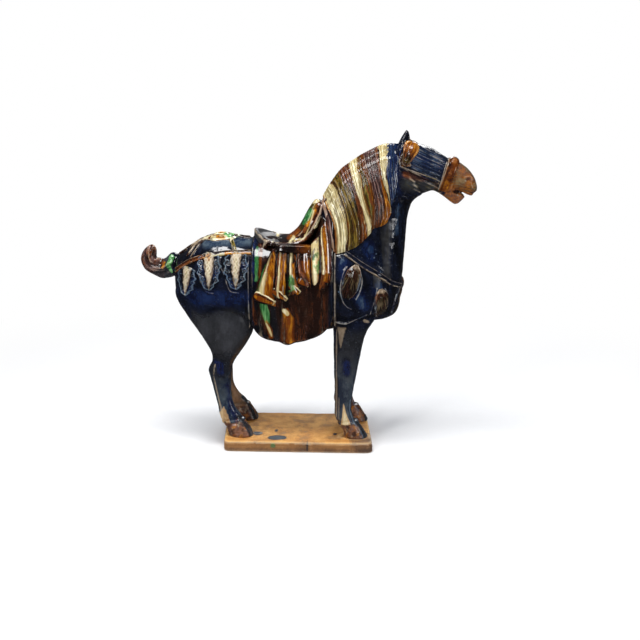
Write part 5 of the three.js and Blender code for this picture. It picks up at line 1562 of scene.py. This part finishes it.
def glazeBody():
    p = pointsOf(horseBody)
    x, y, z = p.T
    beyondBand = np.where(z > 400, pastBand(x, z), -40)  # millimetres past the noseband
    slate = np.maximum(np.minimum.reduce([272 + 5 * np.sin(x * 0.08) - z, (-84 - x) * 0.5, x + 236 - z * 0.12]),
                       np.minimum(236 - z, 200 - x) * 0.6)
    hooves = np.maximum(
        np.minimum(47 + (x + 142) * 0.16 - z, -60 - x),
        np.minimum(47 + (x - 84) * 0.16 - z, x - 40))
    bareHind = np.minimum(np.minimum(76 + (x + 150) * 1.4 - z * 1.0, -138 - x + (60 - z) * 0.35), 20) * 0.8
    farSide = ramp(0, 10, y) * 80 - 40
    farHind = np.minimum(farSide, np.minimum(150 - z + (x + 130) * 0.6, -60 - x))
    tail = -236 - x
    mouth = 3.6 - np.hypot((x - 297) / 2.2, z - 496)
    face = np.minimum.reduce([x - 207, 272 - x + (z - 530) * 0.3, z - 522 + (x - 207) * 0.36])
    faceEdge = np.minimum(face * 0.6, 3)
    farFore, farRear = (y > 0) & (x > 0), (y > 0) & (x < 0)
    # hairs run along the head, round the muzzle from the mouth, and elsewhere the glaze runs down
    head = (x > np.where(y < 5, 150, 186)) & (z > 480 + (x - 186) * 0.1)
    line = np.where(head & (x > 190), acrossFace(x, z) * 1.3, x)
    muzzle = (head | (z > 455) & (x > 262)) & (beyondBand > -8)
    aboutMouth = 1.4 * np.hypot(x - 300, (z - 462) * 1.2) + np.abs(y) + 6 * ripple(p, 24, 34)
    line = np.where(muzzle, aboutMouth, line)
    setField(horseBody, "line", line)
    lined = np.where(muzzle, 1.1, np.where(head, 2.2, np.where((x > 150) & (z > 330), 0.9, 0.3)))
    setField(horseBody, "lined", np.where((farHind > 0) | (hooves > 0), 0.15, lined))

    def onHooves(size, seed, amount, cut):
        return np.minimum(hooves, 6) * 0.5 + ripple(p, size, seed) * amount - cut

    def onMuzzle(cut, more):
        return np.minimum(beyondBand, 6) * 0.3 - cut + more

    # cobalt glaze poured over slip: near black where it pooled, clear blue in patches, bare clay below the fetlocks,
    # and amber and russet brushed on muzzle, hooves and tail; the slate grey over lower body and legs is a painted
    # reflection of grey surroundings, and some pale dots, lines and patches and a dark line under the cheek are
    # painted glints, highlights and shadow
    finish(horseBody, "cobaltGlazedEarthenware", "midnight", [
        ("cobalt", [[(-215, 310, 8), (-190, 298, 16), (-150, 300, 16), (-100, 300, 14)],
                    [(85, 365, 12), (84, 340, 8)], [(150, 316, 10), (158, 305, 9)],
                    [(108, 315, 10), (128, 285, 10)], [(130, 395, 12), (136, 375, 8)],
                    [(176, 560, 6), (186, 500, 6)], [(215, 560, 14), (260, 545, 12)]], 30, 0.8, 6),
        ("charcoal", faceEdge - 2, 12, 0.5, 2, 0.2),
        ("midnight", np.minimum.reduce([face, 14 - np.abs(y), z - 566 + (x - 207) * 0.44]), 8, 0.4, 3, 0.45),
        ("mist", faceEdge - 4.4, 9, 0.5, 2),
        ("haze", faceEdge - 5.8, 9, 0.55, 1.5),
        # small pale dots on chest and neck: painted glints
        ("haze", [[(78, 362, 1)], [(75, 335, 1.2)], [(77, 313, 1)], [(146, 390, 1)], [(147, 383, 1)],
                  [(143, 376, 1.2)], [(151, 367, 1.4)], [(186, 430, 1.4)]], 5, 0.75),
        # pale along the raised lines: painted highlight where they catch the light
        ("haze", seamField(p) + 0.2, 8, 0.4),
        # charcoal to slate grey over the lower body, thighs and legs: a painted reflection of grey surroundings in
        # the dark glaze
        ("charcoal", slate, 16, 1, 6, 0.24),
        ("slate", np.minimum.reduce([slate - 8, (-84 - x) * 0.5, z - 190]), 34, 1, 14, 0.32),
        # grey-blue band over the croup: a painted reflection
        ("mist", [[(-180, 396, 6), (-150, 400, 7), (-95, 400, 6)]], 16, 0.4, 5),
        ("midnight", [[(72, 240, 5), (70, 60, 4)]], 6),
        # faint mist and slate on the lower legs: the same painted grey reflection
        ("mist", np.minimum(165 - z, -60 - x) * 0.1 - 3.5, 16, 0.25, 4),
        ("slate", np.minimum(225 - z, x) * 0.1 - 2.5, 14, 0.75, 4),
        ("mist", np.minimum(220 - z, x) * 0.1 - 6, 16, 0.18, 4),
        ("midnight", [[(-160, 172, 8), (-150, 166, 11), (-150, 150, 11)], [(92, 176, 8), (93, 152, 9)],
                      [(83, 232, 3), (80, 198, 4)], [(72, 200, 2), (71, 100, 2)], [(-168, 130, 2), (-156, 76, 2)]],
         12, 0.7, 4),
        ("sapphire", [[(-160, 171, 4), (-152, 166, 7), (-151, 152, 7)], [(92, 172, 6), (93, 154, 7)],
                      [(-130, 74, 3), (-120, 54, 5)], [(-138, 124, 2), (-134, 84, 3)]], 20, 0.9, 4),
        ("olive", [[(167, 440, 2), (168, 345, 2)]], 8, 0.35, 3),
        ("midnight", [[(164, 455, 9), (168, 335, 8)], [(146, 345, 5), (148, 325, 5)]], 16, 0.7, 4, 0.6),
        # pale grey-blue patches on chest and neck front: partly the glaze's lighter blue, partly painted glints
        ("mist", [[(84, 374, 6), (80, 366, 3)], [(152, 326, 4), (160, 300, 5)], [(136, 390, 4)],
                  [(118, 300, 4), (124, 284, 3)], [(156, 350, 3)], [(186, 470, 2), (184, 420, 2)]], 26, 0.4, 2.5),
        ("charcoal", [[(205, 512, 16), (256, 502, 12)]], 8, 1, 3, 0.28),
        ("olive", [[(205, 512, 6), (256, 502, 5)]], 22, 0.35, 2),
        ("haze", [[(203, 512, 0), (250, 503, 0)]], 26, 0.15, 2),
        ("buff", np.minimum(painted(p, [[(83, 246, 8), (82, 226, 4), (81, 203, 0.1)]]), 241 - z), 10, 0.7, 2),
        ("buff", [[(-164, 142, 1), (-160, 118, 1.6), (-156, 98, 1.6), (-150, 70, 2.6)],
                  [(-161, 166, 1.6), (-164, 146, 1.2)], [(73, 236, 0.8), (73, 62, 1.2)],
                  [(78, 102, 0.2), (78, 60, 1)], [(126, 256, 3), (134, 253, 2)]], 4, 0.75, 1.2, 0.3),
        ("buff", [[(69.5, 382, 0.5), (69.5, 245, 1.4)]], 9, 0.5, 2, 0.3),
        ("brown", [[(200, 530, 6), (222, 524, 6), (240, 519, 3)]], 9, 0.75, 3),
        ("russet", [[(199, 531, 3), (214, 526, 3)]], 10, 0.7, 2),
        # dark line just under the cheek cord: painted shadow
        ("midnight", [[(196, 539, 1), (262, 514, 1)]], 6, 0.8, 2),
        ("bistre", [[(193, 562, 9), (196, 550, 7)]], 8),
        ("amber", [[(194, 546, 1.6), (206, 547, 1.6)]], 3),
        ("clay", bareHind, 12, 1, 1.2, 0.6),
        ("clay", farHind, 10, 0.9, 3, 0.5),
        ("brown", farHind - 4 + 6 * ripple(p, 30, 69), 24, 0.7, 8, 0.5),
        ("clay", [[(87, 92, 0.2), (89, 68, 5), (92, 46, 10)]], 4, 1, 0.8, 0.45, [[(84, 70, 0.5), (88, 48, 7)]]),
        ("cream", [[(89, 76, 1), (91, 52, 6)]], 9, 0.6, 1.2, 0.45),
        ("brown", np.where(farFore, hooves + 30, -9), 6, 1, 3, 0.3),
        ("hoof", hooves, 4, 1, 1.2, 0.3),
        ("mauve", np.where(farFore, np.minimum(hooves + 24, 6) * 0.5 + ripple(p, 12, 70) * 5 - 3, -9),
         20, 0.8, 2),
        ("brown", np.where(farRear, hooves - 2, -9), 12, 0.8, 2),
        ("russet", onHooves(11, 61, 6, 3), 14, 0.7),
        ("amber", onHooves(8, 64, 5, 4), 16, 0.6),
        ("mauve", onHooves(10, 62, 5, 4) + (z - 36) * 0.12, 14, 0.7),
        ("bistre", onHooves(7, 65, 6, 6), 14, 0.7),
        ("buff", onHooves(6, 66, 6, 7) + (z - 36) * 0.16, 14, 0.6),
        ("slate", [[(103, 98, 3), (103, 76, 4), (110, 58, 5), (121, 46, 5), (130, 30, 6), (133, 8, 7)],
                   [(-118, 60, 3), (-106, 47, 2.4), (-96, 30, 2.4), (-91, 12, 3)]], 5, 1, 1.2, 0.25),
        # lighter grey-blue along the outer side of the hoof strips: painted highlight
        ("spill", [[(108, 64, 2), (124, 46, 3), (135, 28, 4), (137, 8, 4)], [(-96, 40, 1), (-90, 14, 2)]],
         5, 1, 1.2, 0.35),
        ("haze", [[(100, 98, 0.6), (99, 76, 0.9), (106, 55, 0.8), (118, 40, 0.8), (125, 26, 0.6), (127, 12, 0.2)]],
         4, 0.6),
        ("slate", tail - 10, 12),
        ("brown", tail - 26, 18, 1, 1.2, 0.2),
        ("bistre", np.minimum(tail - 26, 6) + ripple(p, 18, 68) * 4 - 4, 20, 0.8),
        ("mauve", np.minimum(tail - 26, 6) + ripple(p, 26, 63) * 6 - 4, 14, 0.7, 1.2, 0.22),
        ("slate", np.minimum(tail - 10, 344 + (x + 270) * 0.5 - z), 8, 0.8),
        ("green", [[(-248, 366, 5), (-254, 350, 5), (-248, 338, 3)]], 8, 0.9),
        ("amber", [[(-262, 356, 2.5), (-266, 346, 3)]], 7),
        ("russet", beyondBand, 2),
        ("amber", onMuzzle(2, 3 * ripple(p, 22, 33)), 24, 0.8, 3),
        ("haze", onMuzzle(4.5, 3 * ripple(p, 18, 31)), 26, 0.22, 4),
        ("mauve", onMuzzle(3.5, 3 * ripple(p, 14, 37)), 26, 0.6, 4),
        ("cream", onMuzzle(6, 2 * ripple(p, 12, 35)), 30, 0.4, 2),
        ("bistre", onMuzzle(5, 5 * bell(z - 498, 8)), 18, 0.4, 2),
        ("bistre", mouth, 2),
    ], {"breakMost": 0.4, "breakAt": (0.28, 0.8), "ridgeShare": 0.4, "bump": 0.2, "gloss": 0.08, "pool": 22,
        "mottle": 0.4, "thickAt": (0.42, 0.9), "stretch": 0.5, "lines": 1.0, "linePitch": 1.8, "lineBump": 0.35,
        "speck": 0.25, "swell": 6})


glazeBody()


# Slab of bare clay, cut by hand, with pads of slip under the hooves and spilt glaze

slab = {"corner": 14, "edge": 4, "skew": 12, "around": 160, "voxel": 1.95, "score": 13,  # the knife line's height
        "pads": [(-118, -52, 30, 24), (108, -52, 34, 27), (-118, 52, 30, 24), (108, 52, 32, 25), (-83, -43, 11, 9)]}


def makeSlab():
    low, high = slabLow - shift, slabHigh - shift
    low[2], high[2] = -shift[2], slabHigh[2] - shift[2]
    middle = (low[0] + high[0]) / 2 + slab["skew"] / 2
    halfX, halfY = (high[0] - low[0] - slab["skew"]) / 2, (high[1] - low[1]) / 2
    rings, edge = [], slab["edge"]
    a = np.linspace(0, 2 * math.pi, slab["around"], endpoint=False) + 0.001
    sx, sy = np.sign(np.cos(a)), np.sign(np.sin(a))
    cx = middle + sx * (halfX - slab["corner"]) - np.where(sy > 0, slab["skew"], 0)
    cy = sy * (halfY - slab["corner"])
    for inset, z in ((0, low[2]), (0, high[2] - edge), (edge * 0.3, high[2] - edge * 0.3), (edge, high[2])):
        radius = slab["corner"] - inset
        rings.append(np.stack([cx + radius * np.cos(a), cy + radius * np.sin(a), np.full(a.shape, z)], -1))
    piece = addMesh("clay_slab", *skinOver(np.array(rings)))
    remesh(piece, slab["voxel"])
    p = relaxed(pointsOf(piece), edgesOf(piece), 5)
    setPoints(piece, p)
    normals = normalsOf(piece)
    rise = ramp(low[2] + 1, low[2] + 5, p[:, 2])
    up = ramp(0.5, 0.9, normals[:, 2])
    chips = 0.5 * ramp(0.6, 0.9, ripple(p, 22, 43)) * (1 - up)
    height = 0.35 * ripple(p, 70, 41) + 0.15 * ripple(p, 16, 42) - 0.4 - chips
    for x, y, length, wide in slab["pads"]:
        height += up * (1.5 * ramp(1.15, 0.8, np.hypot((p[:, 0] - x) / length, (p[:, 1] - y) / wide)))
    height -= 0.5 * (1 - up) * bell(p[:, 2] - slab["score"] + 1.5 * np.sin(p[:, 0] * 0.03), 0.9)
    setPoints(piece, p + normals * (height * rise)[:, None])
    markRidges(piece, 16)
    p = pointsOf(piece)
    x, y, z = p.T
    top = (up - 0.5) * 20

    def spot(x0, y0, length, wide):
        return np.minimum(top, (1 - np.hypot((x - x0) / length, (y - y0) / wide)) * min(length, wide))

    front = np.minimum(-82 - y, 19 - z) + 2
    corner = 34 - np.hypot(x - 140, (y + 96) * 1.2)
    notch = np.hypot(x - 18.4, np.maximum(np.abs(z - 11) - 7, 0))
    # unglazed buff clay, sliced and fired: dry and matt, sooty at one corner, with spilt glaze and drips, and
    # painted shade on its sides and the foot of its front
    finish(piece, "bareClay", "ochre", [
        ("clay", ripple(p, 90, 51) * 5 - 3, 34, 0.5, 5),
        ("hoof", ripple(p, 60, 52) * 3 - 5.5, 34, 0.25, 5),
        ("stain", corner, 16, 0.4, 9),
        ("stain", np.minimum(spot(72, -60, 16, 12), 9), 14, 0.45, 4),
        # sides and front darker than the top: painted shade
        ("hoof", -top, 20, 0.6, 5),
        # darker band along the foot of the front: painted shade
        ("stain", np.minimum(front, 3.4 - np.abs(z - 4)), 9, 0.4, 3),
        ("stain", np.maximum.reduce([spot(-42, -67, 19, 14), spot(-47, -24, 3.5, 8), spot(-83, -43, 11, 11),
                                     spot(70, -40, 4, 6)]), 3, 1, 1.5, 0.6),
        ("spill", np.maximum.reduce([spot(-42, -67, 17, 12), spot(-83, -43, 10, 10)]) - 1, 3, 1, 1.5),
        ("stain", np.minimum(spot(124, -60, 30, 30), 6), 12, 0.5, 4),
        ("green", np.minimum(front, 5 - np.hypot(x + 48, z - 13)), 5, 0.75, 1.2, 0.3),
        ("stain", np.minimum(front, 1.8 - notch), 3, 0.9),
    ], {"gloss": 0.78, "breakTo": "buff", "breakMost": 0.35, "breakAt": (0.05, 0.4), "stretch": 1, "pool": 24,
        "bump": 0.9, "thickAt": (0.3, 1.0), "mottle": 0.55, "lines": 0, "speck": 0}, "base_slab")


makeSlab()
